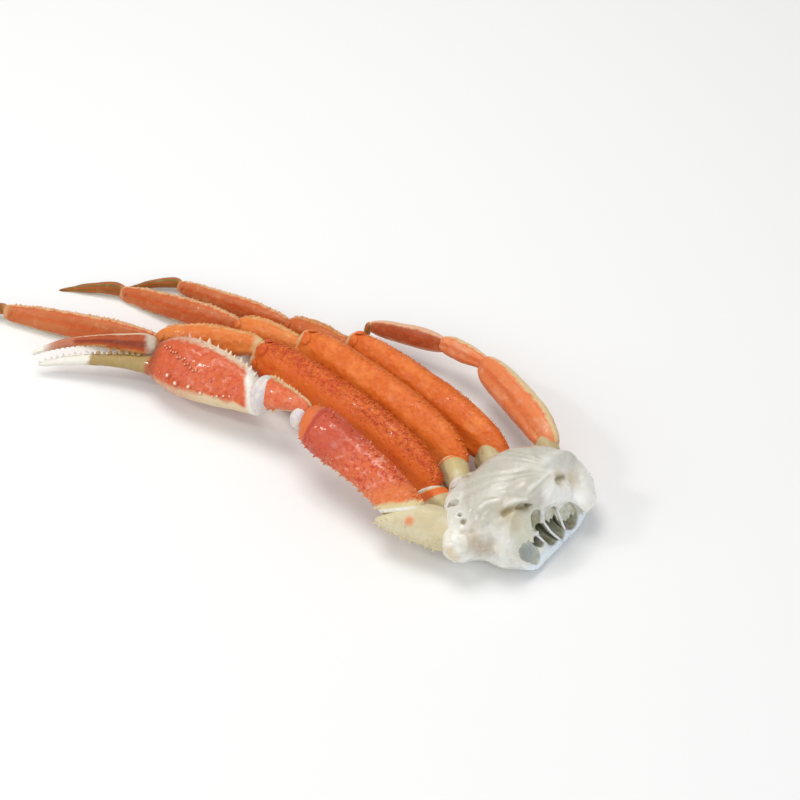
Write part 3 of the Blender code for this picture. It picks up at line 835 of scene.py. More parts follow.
# %% Mix the paint of every shell
HINGE = [(0.975, 0.985, CREAM, 0.6)]
SHELL_PAINT = {
    "leg1_merus": shell_material(
        "leg1_merus", (0.71, 0.145, 0.018), (0.66, 0.10, 0.012), ORANGE, HINGE, tip=(0.80, 0.30, 0.10),
        rough=0.65, dots=0.7,
    ),
    "leg2_merus": shell_material(
        "leg2_merus", (0.70, 0.145, 0.014), PALE_ORANGE, PALE_ORANGE, HINGE, rough=0.25, dots=0.2
    ),
    "leg3_merus": shell_material(
        "leg3_merus", (0.69, 0.140, 0.014), PALE_ORANGE, PALE_ORANGE, HINGE, rough=0.25, dots=0.2
    ),
    "thin_leg": shell_material(
        "thin_leg", (0.76, 0.22, 0.07), (0.76, 0.32, 0.16), (0.80, 0.46, 0.28), edge=CREAM, dots=0.15,
        stripes=0.4,
    ),
    "carpus": shell_material(
        "carpus", (0.70, 0.18, 0.03), (0.74, 0.24, 0.05), (0.76, 0.34, 0.12),
        [(0.12, 0.04, CREAM, 0.7)], edge=(0.80, 0.42, 0.16), dots=0.25,
    ),
    "leg3_carpus": shell_material(
        "leg3_carpus", (0.53, 0.115, 0.018), (0.58, 0.15, 0.03), (0.62, 0.22, 0.06),
        [(0.12, 0.04, CREAM, 0.5)], edge=(0.72, 0.34, 0.12), dots=0.25,
    ),
    "propodus": shell_material(
        "propodus", (0.53, 0.12, 0.028), (0.55, 0.17, 0.05), (0.64, 0.30, 0.12),
        [(0.955, 0.985, CREAM, 0.35)], edge=(0.78, 0.48, 0.24), dots=0.2, stripes=0.5,
    ),
    "leg4_propodus": shell_material(
        "leg4_propodus", (0.38, 0.07, 0.016), (0.46, 0.10, 0.028), (0.56, 0.22, 0.10),
        [(0.955, 0.985, CREAM, 0.8)], belly=(-0.85, -0.5), underside=(0.62, 0.32, 0.17),
        edge=(0.76, 0.48, 0.30), edge_at=(0.75, 1.0), dots=0.1, stripes=0.3,
    ),
    "dactyl": shell_material(
        "dactyl", (0.22, 0.13, 0.025), (0.20, 0.09, 0.018), (0.42, 0.31, 0.10),
        [(0.1, 0.03, (0.60, 0.24, 0.07), 0.7), (0.84, 1.0, (0.20, 0.06, 0.015), 0.8)],
        dots=0.0, stripes=0.7,
    ),
    "leg1_ischium": shell_material(
        "leg1_ischium", (0.58, 0.49, 0.26), (0.66, 0.58, 0.36), (0.52, 0.45, 0.24),
        rings=[(0.66, 0.90, ORANGE), (0.92, 1.2, WHITE)], dots=0.0, wet=0.5,
    ),
    "leg2_ischium": shell_material(
        "leg2_ischium", (0.56, 0.45, 0.20), (0.66, 0.60, 0.40), (0.50, 0.38, 0.12),
        rings=[(0.80, 0.87, PALE_ORANGE), (0.88, 1.2, WHITE)], dots=0.0, wet=0.5,
    ),
    "ischium": shell_material(
        "ischium", (0.50, 0.40, 0.20), (0.60, 0.52, 0.32), (0.44, 0.34, 0.14),
        rings=[(0.90, 1.1, PALE_ORANGE)], dots=0.0, wet=0.5,
    ),
    "claw_ischium": shell_material(
        "claw_ischium", (0.62, 0.53, 0.32), (0.70, 0.63, 0.44), (0.56, 0.46, 0.25), tip=WHITE, dots=0.0,
        wet=0.4,
    ),
    "claw_merus": shell_material(
        "claw_merus", SALMON, (0.70, 0.12, 0.025), CORAL,
        ends=[
            (0.45, 0.7, (0.52, 0.070, 0.030), 0.8),
            (0.30, 0.18, (0.74, 0.19, 0.04), 0.7),
            (0.13, 0.08, CREAM, 0.95),
            (0.9, 0.93, (0.70, 0.16, 0.03), 0.8),
        ],
        # the dark ring at 0.88 is painted shade of the groove before the collar
        rings=[(0.03, 0.05, WHITE), (0.88, 0.895, (0.46, 0.05, 0.02))],
        tip=(0.90, 0.66, 0.40), fine=0.75, dots=0.9, wet=1.0,
    ),
    "claw_carpus": shell_material(
        "claw_carpus", (0.68, 0.135, 0.04), (0.72, 0.21, 0.09), CORAL,
        belly=(-0.98, -0.86), underside=(0.76, 0.66, 0.44), tip=CREAM, edge=CREAM,
        fine=0.3, dots=0.3, wet=0.6,
    ),
    "claw_palm": shell_material(
        "claw_palm", (0.64, 0.12, 0.032), (0.66, 0.11, 0.03), CORAL,
        ends=[  # past 1.0 lies the fixed finger, which is one shell with the hand
            (0.4, 0.8, (0.56, 0.085, 0.022), 0.5),
            (0.12, 0.07, WHITE, 0.95),
            (0.86, 0.93, (0.36, 0.07, 0.018), 0.85),
            (0.99, 1.03, (0.38, 0.27, 0.10), 0.95),
            (1.41, 1.45, WHITE, 0.95),
        ],
        belly=(-0.76, -0.6), underside=(0.74, 0.62, 0.38), tip=(0.88, 0.80, 0.64), edge=(0.82, 0.68, 0.48),
        edge_at=(0.9, 1.06), fine=0.4, dots=0.8, wet=1.0,
    ),
    "claw_finger": shell_material(
        "claw_finger", (0.36, 0.058, 0.010), (0.44, 0.09, 0.018), (0.50, 0.14, 0.04),
        ends=[
            (0.10, 0.06, (0.60, 0.52, 0.40), 0.9),
            (0.62, 0.66, (0.50, 0.18, 0.10), 0.9),
            (0.76, 0.92, WHITE, 0.95),
        ],
        belly=(-0.9, -0.6), underside=(0.66, 0.28, 0.08), tip=WHITE, edge=(0.74, 0.58, 0.38),
        # groove lays painted shade where the finger's groove runs
        edge_at=(0.86, 1.0), groove=0.75, dots=0.0, stripes=0.3,
    ),
}


# %% [markdown]
# ## Joint skin and flesh
# Light goes deeper into skin and meat than into shell, so both get more subsurface scattering. The
# flesh starts from soft clouds of off-white. Its tints, its painted shade and its painted highlights
# are laid on where the vertices of the body half say so, which a later step notes on them.


# %% Make the joint skin and the flesh of the body half
def joint_skin_material():
    """Pale, slightly lilac skin that closes the joints."""
    made = bpy.data.materials.new("joint_skin")
    made.use_nodes = True
    tree = made.node_tree
    shader = tree.nodes["Principled BSDF"]
    colour = paint(tree, (0.62, 0.55, 0.56), (0.74, 0.68, 0.60), use(tree, MOTTLE, Size=2.0))
    tree.links.new(colour, shader.inputs["Base Color"])
    tree.links.new(bump_from(tree, noise_at(tree, 900.0), 0.4, 0.0004), shader.inputs["Normal"])
    shader.inputs["Roughness"].default_value = 0.3
    shader.inputs["Subsurface Weight"].default_value = 0.3
    shader.inputs["Subsurface Scale"].default_value = 0.002
    return made


JOINT_SKIN = joint_skin_material()


FLESH_TINTS_AND_PAINTED_LIGHT = (  # the mask that note_body stores, the colour, and how strongly it covers
    ("fan", (0.47, 0.45, 0.36), 0.75),
    ("streak", (0.46, 0.41, 0.33), 0.35),
    ("green", (0.66, 0.63, 0.45), 0.7),
    ("yellow", (0.60, 0.42, 0.14), 0.6),
    ("pink", (0.50, 0.40, 0.27), 0.75),
    # white of the bulge and the thin walls, and painted highlights along the folds and the panel edge
    ("bright", (0.93, 0.93, 0.90), 0.85),
    # painted shade in the crevice, the meat's crease, the pockets and the pore slit
    ("crease", (0.34, 0.27, 0.14), 0.85),
    ("rim", (0.80, 0.90, 1.0), 0.85),
    ("cell", (0.58, 0.56, 0.36), 0.6),
)
# Flecks and clear meat are the flesh's own colours; the last is painted shade deep in cells and pore.
FLECK, CLEAR_MEAT, CELL_SHADE = (0.42, 0.38, 0.20), (0.48, 0.54, 0.57), (0.055, 0.07, 0.02)


def flesh_material():
    """White shell walls and meat of the body half: wet, translucent and tinted in places."""
    # The tints include painted shade in the cells, creases and pockets and painted highlights on folds.
    made = bpy.data.materials.new("flesh")
    made.use_nodes = True
    tree = made.node_tree
    shader = tree.nodes["Principled BSDF"]
    clouds = use(tree, MOTTLE, Size=5.0, Low=0.4, High=0.65)
    colour = paint(tree, (0.79, 0.78, 0.72), (0.70, 0.67, 0.59), clouds, 0.7)
    colour = paint(tree, colour, (0.86, 0.86, 0.82), use(tree, MOTTLE, Size=3.0, Low=0.5, High=0.75), 0.7)
    # The crease mask lays painted shade and the bright mask partly painted highlights.
    for mask, tint, strength in FLESH_TINTS_AND_PAINTED_LIGHT:
        colour = paint(tree, colour, tint, attribute(tree, mask), strength)
    specks = use(tree, MOTTLE, Size=1.4, Low=0.45, High=0.6)
    flecks = maths(tree, "MULTIPLY", attribute(tree, "cell"), specks)
    colour = paint(tree, colour, FLECK, flecks, 0.6)
    patches = use(tree, MOTTLE, Size=2.5, Low=0.3, High=0.55)
    clear = maths(tree, "MULTIPLY", attribute(tree, "clear"), patches)
    colour = paint(tree, colour, CLEAR_MEAT, clear, 0.85)
    # painted shade, nearly black, deep in the cells and in the pore slit
    colour = paint(tree, colour, CELL_SHADE, attribute(tree, "deep"), 0.97)
    tree.links.new(colour, shader.inputs["Base Color"])
    wet = use(tree, MOTTLE, Size=3.0, Low=0.35, High=0.7)
    tree.links.new(ramp(tree, wet, 0.0, 1.0, 0.25, 0.45), shader.inputs["Roughness"])
    shader.inputs["Subsurface Weight"].default_value = 0.35
    shader.inputs["Subsurface Radius"].default_value = (1.0, 0.8, 0.6)
    shader.inputs["Subsurface Scale"].default_value = 0.0025
    shader.inputs["Coat Weight"].default_value = 0.3
    shader.inputs["Coat Roughness"].default_value = 0.15
    grain = bump_from(tree, noise_at(tree, 500.0, 4.0), 0.25, 0.0003)
    grain = bump_from(tree, attribute(tree, "streak"), 0.3, 0.0004, grain)
    tree.links.new(bump_from(tree, noise_at(tree, 1800.0, 2.0), 0.2, 0.0002, grain), shader.inputs["Normal"])
    return made


FLESH = flesh_material()
print("materials:", len(SHELL_PAINT) + 2)


# %% Choose the paint and the slot of a limb piece
def paint_for(piece):
    """The shell material of a limb piece, by its name."""
    limb, part = piece.name.split("_")
    if piece.name in SHELL_PAINT:
        return SHELL_PAINT[piece.name]
    if limb == "leg4" and part in ("merus", "carpus"):
        return SHELL_PAINT["thin_leg"]
    return SHELL_PAINT[part]


# %% [markdown]
# ## Clothe the limbs
# Each limb piece now gets its shell, its spines and its granules. The spines of the claw leg
# stand in rows along its edges, and the first walking leg has the roughest back. On the first
# three walking legs a few low knobs stand round the far end of each longer piece, where on the
# real crab the next piece is hinged. The claw leg's soft joints bulge out between its shells, so
# two of its joint skins are modelled as squashed spheres.

# %% Say which rows and fields each piece carries
SPINE_ROWS = {  # first and last share, count, degrees, length and radius in mm, wander in degrees
    "claw_ischium": [(0.25, 0.92, 14, 163, 1.1, 0.75), (0.3, 0.9, 8, 140, 0.7, 0.6)],
    "claw_merus": [(0.08, 0.95, 23, 146, 1.3, 0.75), (0.08, 0.93, 17, 18, 1.3, 0.8)],
    "claw_carpus": [(0.3, 0.95, 13, 12, 1.0, 0.7), (0.8, 0.95, 7, 150, 0.8, 0.5, 22)],
}
GRANULE_FIELDS = {  # count, shares, degrees, radius and rise in mm
    "claw_merus": [(60, (0.1, 0.9), (20, 60), 0.3, 0.3), (50, (0.1, 0.9), (115, 142), 0.3, 0.3)],
    "claw_ischium": [(60, (0.2, 0.95), (100, 160), 0.3, 0.25)],
    "leg1_merus": [(620, (0.03, 0.97), (-60, 56), 0.4, 0.26)],
    "leg2_merus": [(260, (0.03, 0.97), (-50, 24), 0.32, 0.2)],
    "leg3_merus": [(240, (0.03, 0.97), (-50, 24), 0.32, 0.2)],
}
for leg in ("leg1", "leg2", "leg3"):
    for part in ("carpus", "propodus"):
        GRANULE_FIELDS[f"{leg}_{part}"] = [
            (90, (0.05, 0.95), (-22, 22), 0.3, 0.36),
            (50, (0.05, 0.95), (150, 190), 0.28, 0.3),
        ]
KNOBS = {  # share, degrees, radius and rise in mm
    "merus": [(0.955, 62, 2.4, 0.7), (0.96, 118, 2.0, 0.5), (0.955, -80, 2.3, 0.6), (0.96, 8, 1.9, 0.6)],
    "carpus": [(0.95, 70, 1.7, 0.5), (0.95, -80, 1.6, 0.5)],
    "propodus": [(0.955, 75, 1.2, 0.35), (0.955, -80, 1.2, 0.35)],
}
SOFT_SKINS = {  # middle and half sizes in mm, on the axes of the claw leg's carpus
    "wrist_skin": ((1.7, -1.4, 21.2), (4.8, 7.2, 4.3)),
    "elbow_skin": ((0.6, -3.3, 2.2), (3.8, 3.9, 3.5)),
}
SPOT_SHARE, SPOT_DEGREES, SPOT_RADIUS = 0.74, 92, 2.4 * MM  # the orange spot by the claw's root


# %% Say how a piece gets its trims and its finish
def trims_of(piece):
    """Copies of the small models that stand on one piece."""
    places = [p for row in SPINE_ROWS.get(piece.name, ()) for p in spine_row(piece, *row)]
    domes = [p for field in GRANULE_FIELDS.get(piece.name, ()) for p in granule_field(piece, *field)]
    knobs = []
    limb, part = piece.name.split("_")
    if limb in ("leg1", "leg2", "leg3"):
        knobs = [standing(piece, share, at, rise, size, 0.0) for share, at, size, rise in KNOBS.get(part, ())]
    pot = paint_for(piece)
    return copies(SPINE, places, pot) + copies(GRANULE, domes, pot) + copies(KNOB, knobs, pot)


SHELL_WAVES = bpy.data.textures.new("shell_waves", "CLOUDS")
SHELL_WAVES.noise_scale = 7 * MM
WAVE_HEIGHT = 0.5 * MM


def dress(obj, piece):
    """Makes a finished shell a little uneven, notes its places and hides the part it replaces."""
    waves = WAVE_HEIGHT * (2 if piece.name == "claw_merus" else 1)
    apply_modifier(
        obj, "DISPLACE", texture=SHELL_WAVES, strength=waves, mid_level=0.5, texture_coords="LOCAL"
    )
    keep_above(obj, 0.0)
    note_places(obj, piece)
    obj.data.shade_smooth()
    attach(obj, "root")
    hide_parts(piece.name)


for template, pale in ((SPINE, 1.0), (GRANULE, 0.78), (TOOTH, 1.0)):
    heights = vertex_places(template)[:, 2]
    set_attribute(template, "spine", np.clip(heights * pale, 0.02, 1))
set_attribute(KNOB, "spine", np.zeros(len(KNOB.data.vertices)))


# %% Build the walking legs and the claw leg's first pieces
def hollow_the_mouth(obj, piece):
    """Draws the back and belly edges of the claw leg's carpus out past its middle."""
    for vert in obj.data.vertices:
        vert.co.z += max(0.0, vert.co.z / piece.length - 0.5) * 0.16 * vert.co.y**2


def build_limb_piece(piece):
    """One dressed piece. The slender ones need fewer faces."""
    tip = piece.name.endswith("dactyl")
    keels = CLAW_KEELS if piece.name.startswith("claw") else LEG_KEELS
    levels = 3 if piece.height > 9 else 2
    obj = shell_of(piece, (paint_for(piece), JOINT_SKIN), cup=not tip, levels=levels, keels=keels)
    set_attribute(obj, "spine", np.zeros(len(obj.data.vertices)))
    extras = trims_of(piece)
    if piece.name == "claw_carpus":
        hollow_the_mouth(obj, piece)
        extras += [soft_skin(name, place, size) for name, (place, size) in SOFT_SKINS.items()]
    if extras:
        join(obj, extras)
    apply_transform(obj, piece.place())
    if piece.name == "claw_ischium":
        spot = piece.place() @ piece.stand(SPOT_SHARE, SPOT_DEGREES)[0]
        set_attribute(obj, "spot", near_points([spot], vertex_places(obj), SPOT_RADIUS))
    dress(obj, piece)
    return obj


def soft_skin(name, place, size):
    """The lilac skin that bulges out between two pieces of the claw leg."""
    deselect_all()
    bpy.ops.mesh.primitive_uv_sphere_add(segments=24, ring_count=16, radius=1.0)
    skin = bpy.context.object
    skin.name = name
    bpy.ops.object.mode_set(mode="EDIT")
    select_verts(skin, lambda co: abs(co.z) < 0.12 and co.x > 0)
    bpy.ops.transform.resize(value=(0.93, 0.93, 0.6), center_override=(0, 0, 0))
    bpy.ops.object.mode_set(mode="OBJECT")
    skin.data.materials.append(JOINT_SKIN)
    apply_transform(skin, Matrix.Translation(place) @ Matrix.Diagonal((*size, 1)))
    set_attribute(skin, "spine", np.zeros(len(skin.data.vertices)))
    return skin


SHELLS = {}
for limb in LIMBS:
    for piece in limb:
        if piece.name not in ("claw_palm", "claw_finger"):
            SHELLS[piece.name] = build_limb_piece(piece)
print("limb shells:", len(SHELLS), "faces:", sum(len(o.data.polygons) for o in SHELLS.values()))

# %% [markdown]
# ## The claw
# The hand and its fixed finger are one shell, so both are modelled as limb pieces and then melted
# into one skin by a voxel remesh, which blends the finger's root as no join could. The teeth come
# after it, because a remesh would swallow them. The other finger starts at the hand's upper corner
# and carries its own row of teeth.

# %% Build the hand with its fixed finger
def melt(obj, voxel, smooth):
    """Blends the shells of an object into one skin."""
    apply_modifier(obj, "REMESH", mode="VOXEL", voxel_size=voxel)
    apply_modifier(obj, "SMOOTH", factor=0.5, iterations=smooth)


def teeth_of(piece, degrees, first, last, count, sizes, rise=1.0):
    """Places of rounded teeth along a biting edge, from the first size to the last."""
    made = []
    for i in range(count):
        step = i / (count - 1)
        size = sizes[0] + (sizes[1] - sizes[0]) * step
        size *= 1 + 0.18 * math.sin(2.9 * i + 0.5)
        made.append(standing(piece, first + (last - first) * step, degrees, size * rise, size, 0.0))
    return made


def in_palm_axes(matrices, piece):
    """Moves places from a finger's axes to the hand's."""
    turn = PALM_PIECE.place().inverted() @ piece.place()
    return [turn @ matrix for matrix in matrices]


PALM_PIECE = CLAW[-1]
PALM_KEELS = ((0, 1.05), (135, 1.05), (90, 0.97))
FIXED_KEELS = ((0, 1.04),)
PALM_PAINTS = (SHELL_PAINT["claw_palm"], JOINT_SKIN)
palm = shell_of(PALM_PIECE, PALM_PAINTS, cup=False, keels=PALM_KEELS)
fixed = shell_of(FIXED_FINGER, PALM_PAINTS, cup=False, keels=FIXED_KEELS)
apply_transform(fixed, PALM_PIECE.place().inverted() @ FIXED_FINGER.place())
join(palm, [fixed])
melt(palm, voxel=0.4, smooth=5)
set_attribute(palm, "spine", np.zeros(len(palm.data.vertices)))
print("smooth hand faces:", len(palm.data.polygons))

# %% Set the hand's spines, granules and teeth
SAW = (  # share, degrees and size in mm of the hand's upper spines
    (0.718, 9, 1.1), (0.6, 14, 1.2), (0.53, 2, 1.7), (0.426, 6, 1.2), (0.337, 10, 1.1), (0.297, 9, 1.3),
    (0.257, 6, 1.0), (0.183, 9, 1.4), (0.124, 12, 1.1), (0.085, 12, 1.1), (0.04, 12, 0.9),
)
TUBERCLES = (  # share, degrees and radius in mm of the large granules along its lower side
    (0.752, 114, 1.15), (0.678, 123, 1.3), (0.569, 123, 1.1), (0.470, 129, 1.0), (0.371, 129, 0.8),
    (0.332, 126, 0.8), (0.277, 123, 0.7), (0.228, 120, 0.7),
)
palm_spines = [standing(PALM_PIECE, share, at, 1.5 * size, size) for share, at, size in SAW]
palm_spines += spine_row(PALM_PIECE, 0.12, 0.5, 5, 26, 0.7, 0.5)
palm_domes = [  # a slanting row on the hand's outer face
    standing(PALM_PIECE, 0.86 - 0.026 * i, 58 + 2.7 * i + 3 * math.sin(2.3 * i), 0.4, 0.62, 0.0)
    for i in range(14)
]
palm_domes += spine_row(PALM_PIECE, 0.72, 0.95, 9, 8, 0.4, 0.45)
palm_domes += granule_field(PALM_PIECE, 30, (0.1, 0.9), (95, 128), 0.32, 0.2)
palm_teeth = in_palm_axes(teeth_of(FIXED_FINGER, 14, 0.25, 0.96, 18, (1.15, 0.5), 1.4), FIXED_FINGER)
palm_teeth += [standing(PALM_PIECE, share, at, 0.85 * size, size, 0.0) for share, at, size in TUBERCLES]
pot = SHELL_PAINT["claw_palm"]
palm_trims = copies(SPINE, palm_spines, pot) + copies(GRANULE, palm_domes, pot)
join(palm, palm_trims + copies(TOOTH, palm_teeth, pot))
apply_transform(palm, PALM_PIECE.place())
dress(palm, PALM_PIECE)
SHELLS["claw_palm"] = palm
print("hand faces:", len(palm.data.polygons))

# %% Build the moving finger
FINGER_KEELS = ((0, 1.05), (90, 0.95))
FINGER_PAINTS = (SHELL_PAINT["claw_finger"], JOINT_SKIN)
finger = shell_of(MOVING_FINGER, FINGER_PAINTS, cup=False, keels=FINGER_KEELS)
set_attribute(finger, "spine", np.zeros(len(finger.data.vertices)))
finger_teeth = teeth_of(MOVING_FINGER, 178, 0.2, 0.96, 20, (0.7, 0.34))
for share, degrees, rise, radius in ((0.3, 178, 1.0, 1.9), (0.37, 176, 1.1, 1.5)):  # the two big ones
    finger_teeth.append(standing(MOVING_FINGER, share, degrees, rise, radius, 0.0))
join(finger, copies(TOOTH, finger_teeth, SHELL_PAINT["claw_finger"]))
apply_transform(finger, MOVING_FINGER.place())
dress(finger, MOVING_FINGER)
SHELLS["claw_finger"] = finger
print("finger faces:", len(finger.data.polygons))

# %% [markdown]
# ## The body half
# Where the legs are pulled off with their share of the body, one sees thin white shell walls with
# muscle between them. The top is a fan of faint creases, where the gills lay. The sawn face at the
# crab's middle shows the cells that the leg muscles fill, parted by thin walls. The form starts as
# a sphere that is moved to a pebble's measures and sawn by a bisect. Spheres for the meat and for
# the legs' roots are then joined to it and melted in, as lumps of clay would be.

# %% Give the measures of the body half
# All of these are in mm in the model's own frame.
BODY_MIDDLE = Vector((93.8, -51.7, 13.0))
BODY_OUTLINE = (  # degrees round the middle, and the distance to the flank there
    (-180, 22), (-152, 26), (-128, 19), (-88, 19), (-60, 21.5), (-20, 25), (0, 28),
    (20, 28), (33, 27), (53, 23), (83, 20), (114, 19), (140, 19), (165, 21), (180, 22),
)
BODY_TOP, BODY_BOTTOM = 15.5, 15.0  # from the middle up and down
FLANK, CROWN, BELLY = 0.75, 0.8, 0.7  # exponents of a section: 1 is round, less is squarer
TOP_SLOPE = Vector((0.1, 0.2))  # rise of the top for each mm towards +X and +Y
PEBBLE_GAP, WALL_GAP, BODY_GAP = 0.05, 0.6, 0.02  # the least height above the table
CUT_FOOT = Vector((100.2, -67.2, 3.0))
CUT_HEADING, CUT_LEAN = 50.5, 24.0  # degrees
FAN_FOOT = Vector((109.8, -47.7, 26.0))  # where the creases of the top run together


def cut_axes():
    """Unit vectors along the sawn face, up it and out of it."""
    turn = math.radians(CUT_HEADING)
    lean = math.radians(CUT_LEAN)
    along = Vector((math.cos(turn), math.sin(turn), 0))
    level = Vector((math.sin(turn), -math.cos(turn), 0))
    out = level * math.cos(lean) + Vector((0, 0, 1)) * math.sin(lean)
    return along, out.cross(along), out


def cut_place(across, rise, proud, degrees=0.0):
    """The place and turn of something on the sawn face, tilted in that face."""
    along, up, out = cut_axes()
    turn = Matrix((along, up, out)).transposed().to_4x4()
    tilt = Matrix.Rotation(math.radians(degrees), 4, "Z")
    return Matrix.Translation(CUT_FOOT + along * across + up * rise + out * proud) @ (turn @ tilt)


def body_point(co):
    """Where a point of the unit sphere goes on the pebble."""
    angle = math.atan2(co.y, co.x)
    spread = math.hypot(co.x, co.y) ** FLANK * curve(BODY_OUTLINE, math.degrees(angle))
    x, y = spread * math.cos(angle), spread * math.sin(angle)
    if co.z <= 0:
        height = -(abs(co.z) ** BELLY) * BODY_BOTTOM
    else:
        height = co.z**CROWN * BODY_TOP + TOP_SLOPE.dot(Vector((x, y))) * min(1, co.z * 3)
    return BODY_MIDDLE + Vector((x, y, height))


def ellipsoid(name, place, size, segments=24):
    """A sphere stretched to three half sizes and laid in place."""
    deselect_all()
    bpy.ops.mesh.primitive_uv_sphere_add(segments=segments, ring_count=segments * 2 // 3, radius=1.0)
    lump = bpy.context.object
    lump.name = name
    apply_transform(lump, place @ Matrix.Diagonal((*size, 1)))
    return lump


# %% Shape the pebble and saw it
deselect_all()
bpy.ops.mesh.primitive_uv_sphere_add(segments=96, ring_count=64, radius=1.0)
body = bpy.context.object
body.name = "shoulder_flesh"
for vert in body.data.vertices:
    vert.co = body_point(vert.co)
keep_above(body, PEBBLE_GAP)


def saw(place, away):
    """Cuts off what lies on one side of a plane and closes the cut."""
    bpy.ops.mesh.select_all(action="SELECT")
    bpy.ops.mesh.bisect(plane_co=place, plane_no=away, use_fill=True, clear_outer=True)


SAWN_OUT = cut_axes()[2]  # out of the sawn face
bpy.ops.object.mode_set(mode="EDIT")
saw(CUT_FOOT, SAWN_OUT)
saw(cut_place(0, -1.2, 0).translation, SAWN_OUT * 0.75 - Vector((0, 0, 1)))  # the undercut foot
bpy.ops.object.mode_set(mode="OBJECT")
print("pebble faces:", len(body.data.polygons))

# %% Join the lumps and melt them in
COXA_SIZE = {"claw": 7.2, "leg1": 5.2, "leg2": 4.8, "leg3": 4.8, "leg4": 4.4}
COXA_REACH = 11.0  # how far a leg's lump reaches back from where the leg starts
MEAT_LUMPS = (  # place and radius
    (78.5, -62.8, 11.0, 6.2), (84.5, -62.6, 8.8, 5.2), (73.0, -65.0, 11.0, 4.5), (90.5, -63.8, 6.0, 5.0),
    (81.0, -61.0, 16.0, 7.0), (74.5, -59.0, 16.0, 5.5), (71.8, -66.6, 14.6, 2.6),
    (113.0, -39.5, 12.0, 7.4), (115.2, -42.6, 10.5, 5.8), (112.0, -37.5, 16.0, 5.6),
)
BROW_PLACE, BROW_SIZE = cut_place(16.0, 21.5, -4.0, -20), (15.5, 8.0, 8.0)
LEFT_WALL_PLACE = Matrix.Translation((76.5, -49.0, 15.0)) @ Matrix.Rotation(math.radians(-22), 4, "Z")
LEFT_WALL_SIZE = (6.5, 12.5, 7.5)

lumps = [ellipsoid("brow", BROW_PLACE, BROW_SIZE)]
for limb in LIMBS:
    size = COXA_SIZE[limb[0].name.split("_")[0]]
    middle = limb[0].start - limb[0].axes()[0] * (COXA_REACH - size) - ORIGIN
    lumps.append(ellipsoid("coxa", Matrix.Translation(middle), (size, size, size)))
for x, y, z, size in MEAT_LUMPS:
    lumps.append(ellipsoid("meat", Matrix.Translation((x, y, z)), (size, size, size)))
lumps.append(ellipsoid("left_wall", LEFT_WALL_PLACE, LEFT_WALL_SIZE))
join(body, lumps)
melt(body, voxel=0.6, smooth=14)
print("body faces:", len(body.data.polygons))

# %% [markdown]
# ## Creases and folds
# Faint creases fan out over the top of the real body half, and a few folds stand along its sawn
# face. Moving their vertices one by one would take long. Here a path of a few points says where a
# crease runs, the points are moved to the surface, and the vertices near the path are pushed along
# their normals. Noise on top makes the meat lumpy.


# %% Define the helpers for a path on the surface
def nearest_on(path, points):
    """Distance from each point to a path, and the share of the way along it."""
    path = np.array(path, dtype=float)
    steps = np.linalg.norm(np.diff(path, axis=0), axis=1)
    starts = np.concatenate(([0], np.cumsum(steps)))
    best = np.full(len(points), 1e9)
    share = np.zeros(len(points))
    for a, b, step, start in zip(path, path[1:], steps, starts):
        if step == 0:
            continue
        along = np.clip((points - a) @ (b - a) / step**2, 0, 1)
        gap = np.linalg.norm(points - a - along[:, None] * (b - a), axis=1)
        closer = gap < best
        best[closer] = gap[closer]
        share[closer] = ((start + along * step) / starts[-1])[closer]
    return best, share


def vertex_normals(obj):
    """The normals of all vertices, as rows of x, y and z."""
    normals = np.empty(len(obj.data.vertices) * 3, np.float32)
    obj.data.vertices.foreach_get("normal", normals)
    return normals.reshape(-1, 3)


def snapped(path, points):
    """The path with each of its points moved to the nearest point of the surface."""
    return [points[np.argmin(np.linalg.norm(points - np.array(p), axis=1))] for p in path]


def along_path(path, points, width):
    """A soft mask round a path on the surface: 1 on it, fading over its width and at its ends."""
    gap, share = nearest_on(snapped(path, points), points)
    return np.exp(-((gap / width) ** 2)) * np.clip(np.minimum(share, 1 - share) * 8 + 0.25, 0, 1)


# %% Say where the creases run
FAN_RIDGES = (
    ((79, -43, 24), (90, -43, 28), (103, -44.6, 28)),
    ((77.4, -46, 23.4), (89.1, -47.1, 29), (103.5, -46.5, 28.3)),
    ((76.5, -48.7, 23), (88, -49.4, 28.5), (101, -48.6, 29)),
    ((77.3, -51.2, 23.4), (87.1, -51.7, 27.1), (98, -51.0, 29.6)),
    ((77.2, -53.8, 22.8), (88.9, -54.7, 27.5), (97.5, -53.4, 28.7)),
    ((87, -41, 27.5), (92, -38.5, 28), (99, -36.6, 28)),
    ((93, -44, 28.5), (100, -40, 28.5), (106, -35.5, 26)),
)
FACET = ((96.9, -36.9, 28.8), (98.2, -40.5, 29.5), (99.5, -44.1, 30.0))
BRIGHT_FOLD = ((80.1, -59.9, 24.5), (82.4, -58.1, 25.3), (85.0, -57.9, 26.4), (88.0, -57.7, 26.9))
SECOND_FOLD = ((88.3, -59.5, 24.8), (90.2, -58.7, 26.1), (93.1, -58.2, 26.9), (97.1, -57.4, 26.4))
CREVICE = ((87.6, -61.9, 23.3), (89.9, -60.2, 23.8), (92.8, -59.3, 24.4), (97.2, -57.8, 23.0))
PANEL_EDGE = ((96, -56.6, 28.6), (99.4, -53.3, 29.7), (103.2, -48.8, 29.4), (106.4, -45.6, 27.4))
PANEL_SIDE = ((106.4, -45.6, 27.3), (105.4, -50.9, 27.9), (104.4, -54.0, 26.0))
BULGE = ((101, -56.0, 25.8), (107, -53.2, 23.0), (113, -49.0, 16.5), (117, -45.4, 9.6))
PORE_HOLLOW = ((106.5, -49.6, 27.3), (110.4, -45.6, 23.5), (113.5, -43.0, 18.0), (115.4, -41.2, 15.8))
PORE_SLIT = ((105.0, -49.6, 26.8), (106.4, -48.0, 25.6), (108.2, -46.2, 24.2), (109.6, -44.6, 22.8))
LEFT_RIDGE = ((77.7, -53.4, 23.7), (77.6, -57.0, 23.2), (77.3, -59.6, 22.0))
